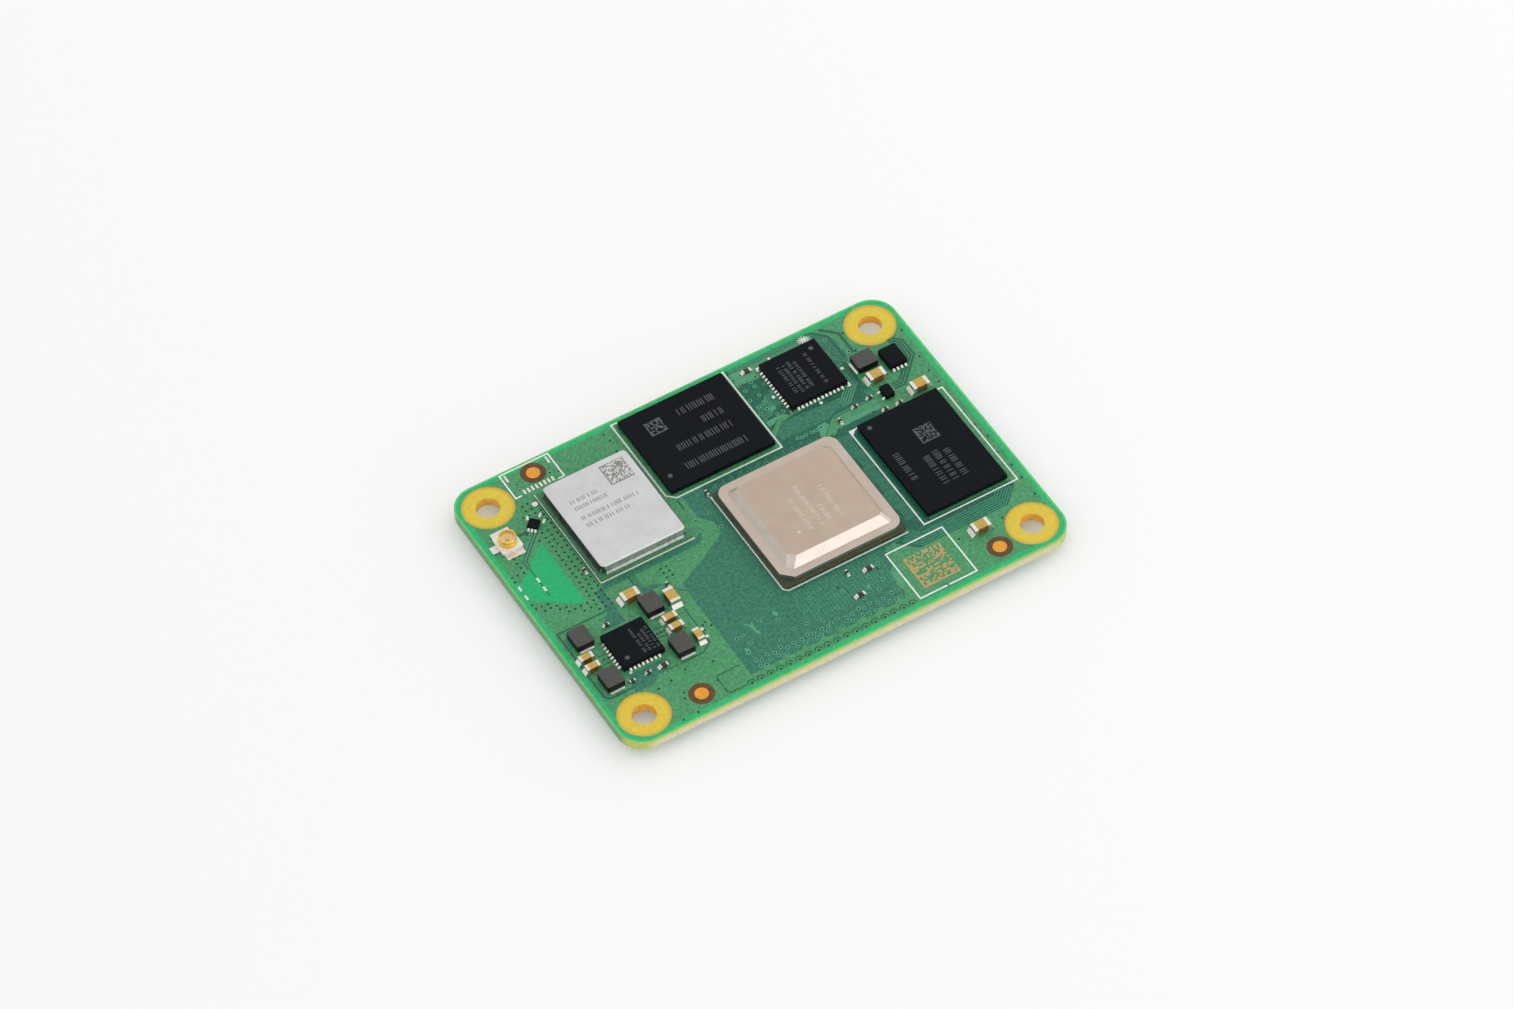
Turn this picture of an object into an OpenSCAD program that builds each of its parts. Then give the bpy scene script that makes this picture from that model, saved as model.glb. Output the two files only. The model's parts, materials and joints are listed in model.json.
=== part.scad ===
// System on module: a small computer board that plugs into a carrier through
// two mezzanine connectors on its underside.
// Millimetres. +Z is up. The origin is at the centre of the board's outline,
// on the plane that the connectors rest on.

/* [Board] */
// Length of the board along X
board_l = 55; // [54:0.5:62]
// Width of the board along Y
board_w = 40; // [39.5:0.5:46]
// Thickness of the laminate with its copper and solder mask
board_t = 1.2; // [0.8:0.1:2]
// Radius of the board's corners
corner_r = 3; // [1:0.1:4]
// Distance of each screw hole's centre from the two edges beside it
hole_inset = 3.5; // [3.2:0.1:4]
// Diameter of the screw holes, a clearance for M2.5
hole_d = 2.7; // [2.5:0.05:3.2]
// Diameter of the bare laminate ring round each screw hole
ring_d = 5.7; // [5:0.1:6]
// Depth of the openings in the solder mask
mask_t = 0.03; // [0.02:0.01:0.05]
// Diameter of the mask opening round a fiducial dot
fiducial_ring_d = 2.85; // [2.2:0.05:3.2]
// Diameter of a fiducial dot
fiducial_d = 1.55; // [1:0.05:2]
// Distance of the left fiducial dots from the board's left edge
fiducial_from_left = 10; // [9.6:0.1:10.4]
// Distance of the right fiducial dot from the board's right edge
fiducial_from_right = 8.1; // [7.6:0.1:8.6]
// Distance of the back fiducial dot from the board's back edge
fiducial_from_back = 1.85; // [1.8:0.05:1.9]
// Distance of the front fiducial dots from the board's front edge
fiducial_from_front = 2.65; // [2:0.05:2.8]
// Thickness of a bare tinned pad above the mask
pad_t = 0.03; // [0.02:0.01:0.06]
// Length of the unfitted socket's pads
socket_pad_l = 0.65; // [0.5:0.05:0.7]
// Width of a bare tinned pad
pad_w = 0.25; // [0.2:0.01:0.3]
// Distance of the unfitted socket's middle from the board's left edge
socket_from_left = 9.65; // [9.3:0.05:10]
// Distance of the unfitted socket's pad row from the board's back edge
socket_from_back = 3.7; // [3.65:0.05:3.8]
// Pads in the unfitted socket's row
socket_pads = 8; // [4:1:9]
// Distance between the unfitted socket's pads
socket_pitch = 0.5; // [0.4:0.02:0.54]

/* [Processor] */
// Side of the square processor substrate
soc_side = 15.1; // [14:0.1:15.6]
// Height of the processor from the board to the top of its lid
soc_h = 2.378; // [2:0.001:2.8]
// Thickness of the processor substrate
soc_substrate_t = 0.5; // [0.4:0.05:0.7]
// Height of the solder balls under the processor
soc_ball_h = 0.3; // [0.2:0.02:0.4]
// Distance between the solder balls under the processor
soc_ball_pitch = 0.65; // [0.6:0.01:0.8]
// Ledge of the substrate round the lid
lid_ledge = 0.15; // [0.1:0.05:0.6]
// Thickness of the lid's brim
lid_brim_t = 0.55; // [0.3:0.05:0.6]
// Width of the lid's brim round the raised middle
lid_brim_w = 0.95; // [0.8:0.05:1.5]
// Width of the slope from the brim to the raised middle
lid_slope_w = 0.75; // [0.5:0.05:0.95]
// Thickness of the lid's metal above the die
lid_roof_t = 0.5; // [0.35:0.05:0.7]
// Corner radius of the lid's brim
lid_corner_r = 1.3; // [0.6:0.1:1.6]
// Length that the bevels at the raised middle's first-pin corner and opposite it take from its sides
lid_hip = 0.7; // [0.5:0.1:1.2]
// Length that the bevels at the raised middle's other two corners take from its sides
lid_small_hip = 0.3; // [0.2:0.1:0.5]
// Corner radius of the hollow under the raised middle
lid_hollow_r = 1.6; // [1.2:0.1:2]
// Length that the cut at the lid's first-pin corner takes from each side
lid_cut = 1.2; // [0.8:0.1:1.6]
// Side of the square silicon die under the lid
die_side = 8.6; // [6:0.1:9.4]

/* [Memory and flash] */
// Length of the memory package along X
memory_l = 10; // [9:0.1:10.6]
// Length of the memory package along Y
memory_w = 14.5; // [13:0.1:15]
// Height of the memory package with its solder balls
memory_h = 0.8; // [0.7:0.05:1.2]
// Gap between the memory package and the board's right edge
memory_edge_gap = 2.5; // [2:0.05:3]
// Gap between the processor and the memory package
memory_gap = 2.9; // [2.5:0.05:3.2]
// Length of the flash package along X
flash_l = 13; // [12:0.1:13.6]
// Length of the flash package along Y
flash_w = 11.5; // [10.5:0.1:11.9]
// Height of the flash package with its solder balls
flash_h = 0.8; // [0.7:0.05:1.2]
// Gap between the flash package and the board's back edge
flash_edge_gap = 1.15; // [0.8:0.05:1.5]
// Gap between the processor and the flash package
flash_gap = 2.55; // [2.2:0.05:2.8]
// Height of the solder balls under the memory and flash packages
package_ball_h = 0.22; // [0.15:0.01:0.3]
// Distance between the solder balls under the memory package
memory_ball_pitch = 0.8; // [0.65:0.01:0.9]
// Distance between the solder balls under the flash package
flash_ball_pitch = 0.5; // [0.4:0.01:0.6]
// Solder balls along each side of the grid under the flash package
flash_balls_side = 14; // [8:1:16]
// Widest part of a reflowed solder ball, against its height
ball_spread = 1.35; // [1.2:0.05:1.5]
// Distance of the outer solder balls from a package's edge
ball_margin = 0.5; // [0.4:0.05:0.8]
// Diameter of the first-pin dimple in a package's top
dimple_d = 0.6; // [0.4:0.05:0.8]
// Depth of the first-pin dimple
dimple_depth = 0.03; // [0.02:0.01:0.06]
// Distance of the first-pin dimple from the two sides beside it
dimple_inset = 1; // [0.7:0.05:1.4]
// Distance of the flash package's first-pin dimple from its front side
flash_dimple_inset = 1.95; // [0.7:0.05:3]

/* [Wireless module] */
// Length of the wireless module's carrier along X
carrier_l = 11.2; // [10.6:0.05:11.5]
// Length of the wireless module's carrier along Y
carrier_w = 13.8; // [13.2:0.05:14.2]
// Thickness of the wireless module's carrier
carrier_t = 0.5; // [0.4:0.05:0.8]
// Gap between the carrier and the unfitted socket's pads behind it
carrier_back_gap = 1.025; // [0.9:0.025:1.2]
// Gap between the carrier and the capacitor before it
carrier_front_gap = 2.91; // [2.6:0.01:3.2]
// Gap between the carrier and the antenna switch beside it
carrier_side_gap = 1.4; // [1.1:0.05:1.5]
// Gap between the flash package and the carrier
carrier_gap = 1.1; // [0.9:0.05:1.3]
// Width of the carrier's ledge round the shield
shield_ledge = 0.4; // [0.3:0.05:0.6]
// Height of the shield above the carrier
shield_h = 1.3; // [1:0.05:1.5]
// Thickness of the shield's sheet metal
sheet_t = 0.15; // [0.1:0.01:0.2]
// Corner radius of the shield
shield_corner_r = 0.6; // [0.4:0.05:0.8]
// Width of the bend between the shield's top and its sides
shield_bend = 0.16; // [0.08:0.02:0.2]
// Height of the soldered foot along the shield's sides
shield_foot_h = 0.25; // [0.15:0.05:0.4]
// Reach of the soldered foot past the shield's sides
shield_foot_out = 0.15; // [0.05:0.05:0.25]
// Reach of the slit along both sides of each shield corner
shield_slit = 0.45; // [0.3:0.05:0.6]
// Height of the slit at each shield corner
shield_slit_h = 0.7; // [0.4:0.05:0.8]
// Side of the square radio chip inside the shield
radio_side = 5; // [4:0.1:7]
// Height of the radio chip inside the shield
radio_h = 0.6; // [0.4:0.05:0.8]

/* [Leaded chips] */
// Side of the square Ethernet chip
ethernet_side = 7; // [6.6:0.1:7.4]
// Height of the Ethernet chip
ethernet_h = 0.85; // [0.7:0.05:1.2]
// Gap between the flash package and the Ethernet chip
ethernet_gap = 4.05; // [3.6:0.05:4.4]
// Distance of the Ethernet chip's centre from the board's back edge
ethernet_from_back = 5.95; // [5.4:0.05:6.4]
// Leads along each side of the Ethernet chip
ethernet_leads = 12; // [8:1:12]
// Side of the square power chip
power_side = 5; // [4.6:0.1:5.4]
// Height of the power chip
power_h = 0.8; // [0.7:0.05:1.2]
// Distance of the power chip's centre from the board's left edge
power_from_left = 7.05; // [7:0.05:9]
// Gap between the bare ring of the front left hole and the coil behind it
power_front_gap = 1.18; // [1:0.02:1.4]
// Leads along each side of the power chip
power_leads = 8; // [6:1:8]
// Distance between leads
lead_pitch = 0.5; // [0.45:0.01:0.52]
// Width of a lead
lead_w = 0.26; // [0.18:0.01:0.3]
// Thickness of a lead under its chip
lead_t = 0.1; // [0.06:0.01:0.15]
// Reach of a lead and its solder past the chip's side
lead_out = 0.3; // [0.2:0.02:0.4]
// Reach of a lead under its chip
lead_in = 0.4; // [0.2:0.05:0.5]
// Height of the solder against the chip's side
lead_rise = 0.22; // [0.2:0.02:0.4]
// Gap between the leads and the heat pad under a chip
heat_pad_gap = 0.4; // [0.2:0.05:0.6]
// Length of an anchor pad's legs at the Ethernet chip's corners
anchor_l = 0.55; // [0.3:0.05:0.6]
// Width of an anchor pad's legs
anchor_w = 0.2; // [0.12:0.02:0.26]

/* [Small chips] */
// Side of the square antenna switch
antenna_switch_side = 1.2; // [1:0.05:1.3]
// Height of the antenna switch
antenna_switch_h = 0.5; // [0.4:0.05:0.8]
// Gap between the antenna jack and the antenna switch
antenna_switch_gap = 1.5; // [1.3:0.05:2]
// Distance of the antenna switch from the board's back edge
antenna_switch_from_back = 8.3; // [7.8:0.05:8.6]
// Turn of the antenna switch about Z
antenna_switch_turn = -45; // [-60:5:-30]
// Leads along two sides of the antenna switch
antenna_switch_leads_side = 3; // [2:1:3]
// Distance between the antenna switch's leads on a side
antenna_switch_pitch = 0.38; // [0.34:0.01:0.42]
// Length of the reset transistor along X
transistor_l = 1.2; // [1:0.05:1.3]
// Length of the reset transistor along Y
transistor_w = 1.6; // [1.4:0.05:1.8]
// Height of the reset transistor
transistor_h = 0.75; // [0.6:0.05:1]
// Distance between the reset transistor's two left leads
transistor_pitch = 1; // [0.8:0.05:1.1]
// Distance of the reset transistor from the board's right edge
transistor_from_right = 7.05; // [6.6:0.05:7.4]
// Distance of the reset transistor from the board's back edge
transistor_from_back = 12.8; // [12.6:0.05:13]
// Length of the load switch along X
load_switch_l = 2.2; // [2:0.05:2.3]
// Length of the load switch along Y
load_switch_w = 2.8; // [2.4:0.05:3]
// Height of the load switch
load_switch_h = 0.8; // [0.7:0.05:1.1]
// Leads along each end of the load switch
load_switch_leads_end = 4; // [2:1:4]
// Gap between the load switch and the Ethernet coil
load_switch_gap = 0.65; // [0.55:0.05:0.8]
// Gap between the load switch and the board's right edge
load_switch_edge_gap = 2.85; // [2.4:0.05:3.2]
// Distance of the load switch from the board's back edge
load_switch_from_back = 8.95; // [8.6:0.05:9.4]
// Radius of a moulded package's upright edges
mould_r = 0.2; // [0.15:0.01:0.3]
// Width of the bevel round a moulded package's top
mould_bevel = 0.1; // [0.05:0.01:0.14]

/* [Coils and capacitors] */
// Length of a coil between its terminals
coil_l = 2.5; // [2.2:0.05:2.6]
// Width of a coil
coil_w = 2.1; // [1.9:0.05:2.2]
// Height of a coil
coil_h = 1.1; // [0.9:0.05:1.4]
// Length of a coil's terminal under the coil
coil_terminal_l = 0.3; // [0.2:0.05:0.5]
// Width of a coil's terminal
coil_terminal_w = 1.7; // [1.4:0.05:1.85]
// Thickness of a coil's terminal
coil_terminal_t = 0.12; // [0.08:0.02:0.2]
// Reach of the solder past a coil's end
coil_solder_out = 0.22; // [0.1:0.02:0.3]
// Gap between the power chip and a coil
coil_gap = 0.75; // [0.6:0.05:0.85]
// Half the distance between two coils on one side of the power chip
coil_dy = 3.2; // [3.1:0.05:3.4]
// Offset of the coils and capacitor pairs from the power chip's middle
coil_shift = 0.3; // [0:0.05:0.4]
// Gap between the Ethernet chip and the Ethernet coil
ethernet_coil_gap = 1.8; // [1.5:0.05:2]
// Distance of the Ethernet coil from the board's back edge
ethernet_coil_from_back = 7.9; // [7.4:0.05:8.2]
// Length of a large capacitor
large_cap_l = 2; // [1.8:0.05:2.1]
// Width of a large capacitor
large_cap_w = 1.25; // [1.1:0.05:1.3]
// Height of a large capacitor
large_cap_h = 1; // [0.8:0.05:1.3]
// Length of a small capacitor
small_cap_l = 1.6; // [1.4:0.05:1.65]
// Width of a small capacitor
small_cap_w = 0.85; // [0.7:0.05:0.9]
// Height of a small capacitor
small_cap_h = 0.8; // [0.6:0.05:0.95]
// Gap between the two small capacitors of a pair
pair_gap = 0.55; // [0.4:0.05:0.65]
// Distance of a pair's middle outwards from the middle of the coils beside it
pair_out = 0.8; // [0.6:0.05:0.9]
// Gap between a coil and the capacitors beside it
cap_gap = 0.7; // [0.5:0.05:0.8]
// Gap between the back large capacitor and the solder of the coil before it
back_cap_gap = 0.12; // [0.1:0.02:0.3]
// Place of the back large capacitor along X from the power chip's middle
back_cap_dx = 3; // [2.5:0.05:3.3]
// Place of the side large capacitor along Y from the middle of the coils
side_large_dy = 2.9; // [2.7:0.05:3]
// Place of the side small capacitor along Y from the middle of the coils
side_small_dy = -3; // [-3.2:0.05:-2.8]
// Gap between the Ethernet coil and the large capacitor before it
ethernet_cap_gap = 0.8; // [0.6:0.05:0.9]
// Place of the memory capacitor along X from the memory package's middle
memory_cap_dx = 3.85; // [3.6:0.05:4]
// Distance of the memory capacitor's middle from the memory package
memory_cap_dy = 1.5; // [1.3:0.05:1.6]
// Distance of the corner capacitor from the board's right edge
corner_cap_from_right = 8.6; // [8:0.05:9]
// Share of the free length behind the front fiducial dot that is before the corner capacitor
corner_cap_share = 0.214; // [0.15:0.002:0.4]
// Length of a long chip resistor
long_chip_l = 1; // [0.8:0.05:1.1]
// Width of a long chip resistor
long_chip_w = 0.5; // [0.4:0.02:0.56]
// Length of a short chip resistor
chip_l = 0.65; // [0.55:0.05:0.75]
// Width of a short chip resistor
chip_w = 0.34; // [0.28:0.02:0.4]
// Height of the chip resistors
chip_h = 0.3; // [0.2:0.02:0.4]
// Part of a capacitor's or resistor's length that each metal end covers
end_share = 0.19; // [0.15:0.01:0.3]
// Part of a capacitor's or resistor's length that its solder reaches past each end
solder_share = 0.2; // [0.1:0.02:0.24]
// Part of a capacitor's or resistor's height that its solder climbs
solder_climb = 0.45; // [0.3:0.05:0.6]
// Thickness of the solder's outer rim against its climb
solder_rim = 0.12; // [0.08:0.02:0.3]
// Radius of a metal end's long edges against its width
end_round = 0.1; // [0.05:0.01:0.15]
// Step from a metal end in to the ceramic, against the width
end_step = 0.03; // [0.02:0.01:0.06]

/* [Antenna jack] */
// Gap between the jack's signal foot and the board's left edge
jack_edge_gap = 0.75; // [0.5:0.05:1]
// Distance of the jack's axis from the board's back edge
jack_from_back = 9; // [8.8:0.05:9.4]
// Side of the jack's square base
jack_side = 2.5; // [2.1:0.05:2.6]
// Thickness of the jack's base
jack_base_t = 0.35; // [0.25:0.05:0.45]
// Outer diameter of the jack's round shell
jack_shell_d = 2; // [1.7:0.05:2.1]
// Wall of the jack's round shell
jack_shell_t = 0.18; // [0.12:0.01:0.22]
// Depth of the snap groove round the jack's shell
jack_groove = 0.06; // [0.03:0.01:0.09]
// Height of the jack from the board
jack_h = 1.4; // [1.1:0.05:1.5]
// Diameter of the jack's centre pin
jack_pin_d = 0.5; // [0.4:0.05:0.6]
// Height of the insulating collar inside the jack's shell
jack_collar_h = 0.4; // [0.1:0.05:0.5]
// Gap between the centre pin's tip and the shell's rim
jack_pin_gap = 0.1; // [0:0.05:0.2]
// Thickness of the jack's solder feet
jack_foot_t = 0.12; // [0.08:0.02:0.2]
// Length of the jack's two ground feet along X
jack_ground_l = 2.2; // [1.8:0.05:2.3]
// Reach of the jack's feet past its base
jack_foot_out = 0.8; // [0.5:0.05:0.9]
// Reach of the jack's feet under its base
jack_foot_in = 0.25; // [0.15:0.05:0.4]
// Width of the jack's signal foot
jack_signal_w = 1; // [0.6:0.05:1.2]

/* [Mezzanine connectors] */
// Length of a connector's housing
conn_l = 22; // [21.6:0.1:24]
// Width of a connector's housing
conn_w = 2; // [1.8:0.05:2.2]
// Height of a connector from the board to its mating face
conn_h = 1.122; // [1:0.002:1.5]
// Contacts in each of a connector's two rows
conn_ways = 50; // [20:1:50]
// Distance between contacts
conn_pitch = 0.4; // [0.36:0.01:0.41]
// Width of a contact
contact_w = 0.2; // [0.14:0.01:0.24]
// Thickness of a contact
contact_t = 0.08; // [0.06:0.01:0.1]
// Width of the trench between a connector's two walls
trench_w = 0.8; // [0.6:0.05:1]
// Gap between the last contact and the end of the trench
trench_end_gap = 0.2; // [0.1:0.05:0.3]
// Thickness of a connector's base at the bottom of the trench
conn_base_t = 0.35; // [0.25:0.05:0.45]
// Reach of a contact's tail past the housing
tail_out = 0.48; // [0.3:0.02:0.6]
// Distance of a contact's crest above the mating face
crest_gap = 0.02; // [0.01:0.01:0.05]
// Decoupling capacitors along each side of their grid below the processor
decoupling_side = 5; // [2:1:5]
// Length of a decoupling capacitor on the underside
decoupling_l = 1; // [0.8:0.05:1.2]
// Width and height of a decoupling capacitor on the underside
decoupling_w = 0.5; // [0.4:0.02:0.6]
// Distance between the decoupling capacitors along X
decoupling_dx = 2.4; // [2:0.1:2.6]
// Distance between the decoupling capacitors along Y
decoupling_dy = 2.2; // [1.6:0.1:2.4]

/* [Hidden] */

$fn = 48;
// Overshoot of a cut past the face that it opens
cut = 1;

left = -board_l / 2;
right = board_l / 2;
front = -board_w / 2;
back = board_w / 2;
under_z = conn_h;
top_z = under_z + board_t;

hole_x = right - hole_inset;
hole_y = back - hole_inset;
hole_places = [for (sx = [-1, 1], sy = [-1, 1]) [sx * hole_x, sy * hole_y]];
fiducial_places = [[left + fiducial_from_left, back - fiducial_from_back],
    [left + fiducial_from_left, front + fiducial_from_front],
    [right - fiducial_from_right, front + fiducial_from_front]];

// Along the back row the pieces keep their sizes, and the gaps share the length left free
switch_across = antenna_switch_side * (cos(antenna_switch_turn) - sin(antenna_switch_turn));
jack_across = jack_foot_out + jack_side;
back_row_pieces = jack_across + switch_across + carrier_l + flash_l + ethernet_side + coil_l
    + load_switch_l;
back_row_gaps = jack_edge_gap + antenna_switch_gap + carrier_side_gap + carrier_gap + ethernet_gap
    + ethernet_coil_gap + load_switch_gap + load_switch_edge_gap;
spread_x = (board_l - back_row_pieces) / back_row_gaps;
jack_x = left + spread_x * jack_edge_gap + jack_foot_out + jack_side / 2;
antenna_switch_x = jack_x + jack_side / 2 + spread_x * antenna_switch_gap + switch_across / 2;
carrier_x = antenna_switch_x + switch_across / 2 + spread_x * carrier_side_gap + carrier_l / 2;
flash_x = carrier_x + carrier_l / 2 + spread_x * carrier_gap + flash_l / 2;
ethernet_x = flash_x + flash_l / 2 + spread_x * ethernet_gap + ethernet_side / 2;
ethernet_coil_x = ethernet_x + ethernet_side / 2 + spread_x * ethernet_coil_gap + coil_l / 2;
load_switch_x = ethernet_coil_x + coil_l / 2 + spread_x * load_switch_gap + load_switch_l / 2;

// Along the left side the power parts and the carrier do the same between the ring and the socket
power_half_w = coil_dy + coil_l / 2 + coil_solder_out;
power_group_w = 2 * power_half_w + back_cap_gap + large_cap_w;
ring_back_y = front + hole_inset + ring_d / 2;
socket_front_y = back - socket_from_back - socket_pad_l / 2;
left_side_gaps = power_front_gap + carrier_front_gap + carrier_back_gap;
spread_y = (socket_front_y - ring_back_y - power_group_w - carrier_w) / left_side_gaps;
power_y = ring_back_y + spread_y * power_front_gap + power_half_w - coil_shift;
carrier_y = socket_front_y - spread_y * carrier_back_gap - carrier_w / 2;

// Places of the chips, each from its neighbour or from the board's edges
flash_at = [flash_x, back - flash_edge_gap - flash_w / 2];
soc_y = flash_at.y - flash_w / 2 - flash_gap - soc_side / 2;
memory_at = [right - memory_edge_gap - memory_l / 2, soc_y];
soc_x = memory_at.x - memory_l / 2 - memory_gap - soc_side / 2;
soc_at = [soc_x, soc_y];
carrier_at = [carrier_x, carrier_y];
ethernet_at = [ethernet_x, back - ethernet_from_back];
power_at = [left + power_from_left, power_y];
antenna_switch_at = [antenna_switch_x, back - antenna_switch_from_back];
transistor_at = [right - transistor_from_right, back - transistor_from_back];
load_switch_at = [load_switch_x, back - load_switch_from_back];
jack_at = [jack_x, back - jack_from_back];

// Levels of the processor above the board
soc_z = top_z + soc_ball_h;
lid_z = soc_z + soc_substrate_t;
lid_top_z = top_z + soc_h;
lid_rise = lid_top_z - lid_z - lid_brim_t;
lid_hollow_h = lid_top_z - lid_roof_t - lid_z;
lid_side = soc_side - 2 * lid_ledge;
lid_middle_side = lid_side - 2 * lid_brim_w;
lid_hollow_side = lid_middle_side - 2 * lid_slope_w;
soc_balls_side = floor((soc_side - 2 * ball_margin) / soc_ball_pitch) + 1;

// Sizes of the wireless module
shield_z = top_z + carrier_t;
shield_l = carrier_l - 2 * shield_ledge;
shield_w = carrier_w - 2 * shield_ledge;

// Coils: place and turn about Z, with a coil's terminals on its own X ends
coil_dx = power_side / 2 + coil_gap + coil_w / 2;
power_coil_places = [for (sx = [-1, 1], sy = [1, -1])
    [power_at.x + sx * coil_dx, power_at.y + coil_shift + sy * coil_dy, 90]];
ethernet_coil_place = [ethernet_coil_x, back - ethernet_coil_from_back, 0];
coil_places = concat(power_coil_places, [ethernet_coil_place]);

// Capacitors: place, turn about Z and size
large_cap = [large_cap_l, large_cap_w, large_cap_h];
small_cap = [small_cap_l, small_cap_w, small_cap_h];
cap_dx = coil_dx + coil_w / 2 + cap_gap;
pair_dx = coil_dx + pair_out;
pair_dy = (small_cap_w + pair_gap) / 2;
back_cap_dy = power_half_w + back_cap_gap + large_cap_w / 2;
power_cap_places = concat(
    [[power_at + [back_cap_dx, coil_shift + back_cap_dy], 0, large_cap],
     [power_at + [cap_dx + large_cap_w / 2, coil_shift + side_large_dy], 90, large_cap]],
    [for (sx = [-1, 1], sy = [1, -1])
        [power_at + [sx * pair_dx, coil_shift + sy * pair_dy], 0, small_cap]],
    [[power_at + [cap_dx + small_cap_w / 2, coil_shift + side_small_dy], 90, small_cap]]);
ethernet_cap_dy = coil_w / 2 + ethernet_cap_gap + large_cap_w / 2;
ethernet_cap_place = [[ethernet_coil_place.x, ethernet_coil_place.y - ethernet_cap_dy], 0, large_cap];
memory_cap_place = [memory_at + [memory_cap_dx, memory_w / 2 + memory_cap_dy], 0, large_cap];
fiducial_back_y = front + fiducial_from_front + fiducial_ring_d / 2;
corner_free_w = memory_at.y - memory_w / 2 - fiducial_back_y - large_cap_w;
corner_cap_y = fiducial_back_y + corner_cap_share * corner_free_w + large_cap_w / 2;
corner_cap_place = [[right - corner_cap_from_right, corner_cap_y], 0, large_cap];
cap_places = concat(power_cap_places, [ethernet_cap_place, memory_cap_place, corner_cap_place]);

// Chip resistors: offset from the piece that each serves, turn about Z and size
function placed(offsets, at) = [for (o = offsets) [at + o[0], o[1], o[2]]];
chip = [chip_l, chip_w, chip_h];
long_chip = [long_chip_l, long_chip_w, chip_h];
round_power = [[[-0.95, 3.9], 0, chip], [[-2.4, -4.05], 0, chip], [[-0.4, -3.95], 0, chip],
    [[1.45, -4], 0, long_chip], [[7.3, 5.1], 90, chip]];
round_soc = [[[-0.8, -9.05], 90, chip], [[1.45, -9.75], 0, long_chip],
    [[-1.15, -12.35], 0, long_chip], [[-7.75, 8.35], 90, chip]];
beside_ethernet = [[[-4.85, 3.95], 0, long_chip]];
beside_transistor = [[[-6.35, -0.7], 90, chip], [[-3.95, 0.2], 0, chip], [[-1.95, 0.45], 0, chip]];
behind_memory = [[[-0.9, 0.8], 0, chip], [[0.9, 0.8], 0, chip]];
beside_carrier = [[[-0.75, -4.65], 90, chip]];
chip_places = concat(placed(round_power, power_at), placed(round_soc, soc_at),
    placed(beside_ethernet, ethernet_at), placed(beside_transistor, transistor_at),
    placed(behind_memory, memory_at + [0, memory_w / 2]),
    placed(beside_carrier, carrier_at - [carrier_l / 2, 0]));

// Bare pads: offset, turn about Z and size
socket_at = [left + socket_from_left, back - socket_from_back];
socket_pad = [socket_pad_l, pad_w];
socket_anchor = [1, pad_w];
tuning_pad = [0.7, pad_w];
switch_pad = [0.6, pad_w];
test_pad = [0.35, 0.35];
socket_row = [for (i = [0 : socket_pads - 1])
    [[(i - (socket_pads - 1) / 2) * socket_pitch, 0], 90, socket_pad]];
socket_anchors = [[[-2.55, 2.6], 90, socket_anchor], [[2.55, 2.6], 90, socket_anchor]];
round_antenna = [for (x = [0.85, 3.1], y = [-15, -16.4]) [[x, y], 90, tuning_pad]];
round_switch = [[[-0.05, 1.3], 60, switch_pad], [[1.3, 0.95], 45, switch_pad],
    [[1.25, 0], 45, switch_pad]];
beside_cap = [[[0.45, -1.9], 90, test_pad], [[0.45, -3], 90, test_pad]];
bare_pad_places = concat(placed(socket_row, socket_at), placed(socket_anchors, socket_at),
    placed(round_antenna, [left, back]), placed(round_switch, antenna_switch_at),
    placed(beside_cap, power_at + [cap_dx + small_cap_w, 0]));

// Levels of the jack's snap groove and of its rim's bevel, against the shell's height
groove_levels = [0.45, 0.52, 0.64, 0.72, 0.92];

// Levels and rows of the underside
conn_y = hole_y;
contact_span = (conn_ways - 1) * conn_pitch + contact_w;
trench_l = contact_span + 2 * trench_end_gap;
wall_h = conn_h - crest_gap - contact_t;
decoupling_cap = [decoupling_l, decoupling_w, decoupling_w];
decoupling_row = [for (i = [0 : decoupling_side - 1]) i - (decoupling_side - 1) / 2];
decoupling_places = [for (i = decoupling_row, j = decoupling_row)
    [soc_at + [i * decoupling_dx, j * decoupling_dy], 0, decoupling_cap]];

// Shapes that repeat

// A flat rectangle with round corners
module rounded_square(l, w, r) {
    square([l - 2 * r, w], center = true);
    square([l, w - 2 * r], center = true);
    for (sx = [-1, 1], sy = [-1, 1])
        translate([sx * (l / 2 - r), sy * (w / 2 - r)]) circle(r);
}

// A block with square upright edges, centred on the Z axis
module square_block(l, w, h) {
    translate([-l / 2, -w / 2, 0]) cube([l, w, h]);
}

// A block with round upright edges
module block(l, w, h, r) {
    linear_extrude(h) rounded_square(l, w, r);
}

// A block whose sides slope in by run over its height, with round corners
module sloped_block(l, w, h, r, run) {
    translate([0, w / 2 - r, 0]) rotate([90, 0, 0]) linear_extrude(w - 2 * r)
        polygon([[-l / 2, 0], [l / 2, 0], [l / 2 - run, h], [run - l / 2, h]]);
    translate([r - l / 2, 0, 0]) rotate([90, 0, 90]) linear_extrude(l - 2 * r)
        polygon([[-w / 2, 0], [w / 2, 0], [w / 2 - run, h], [run - w / 2, h]]);
    for (sx = [-1, 1], sy = [-1, 1])
        translate([sx * (l / 2 - r), sy * (w / 2 - r), 0]) cylinder(r1 = r, r2 = r - run, h = h);
}

// A long block along Y that slopes in by run on its two sides
module roof(half, h, run) {
    rotate([90, 0, 0]) linear_extrude(4 * half, center = true)
        polygon([[-half, 0], [half, 0], [half - run, h], [run - half, h]]);
}

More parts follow.
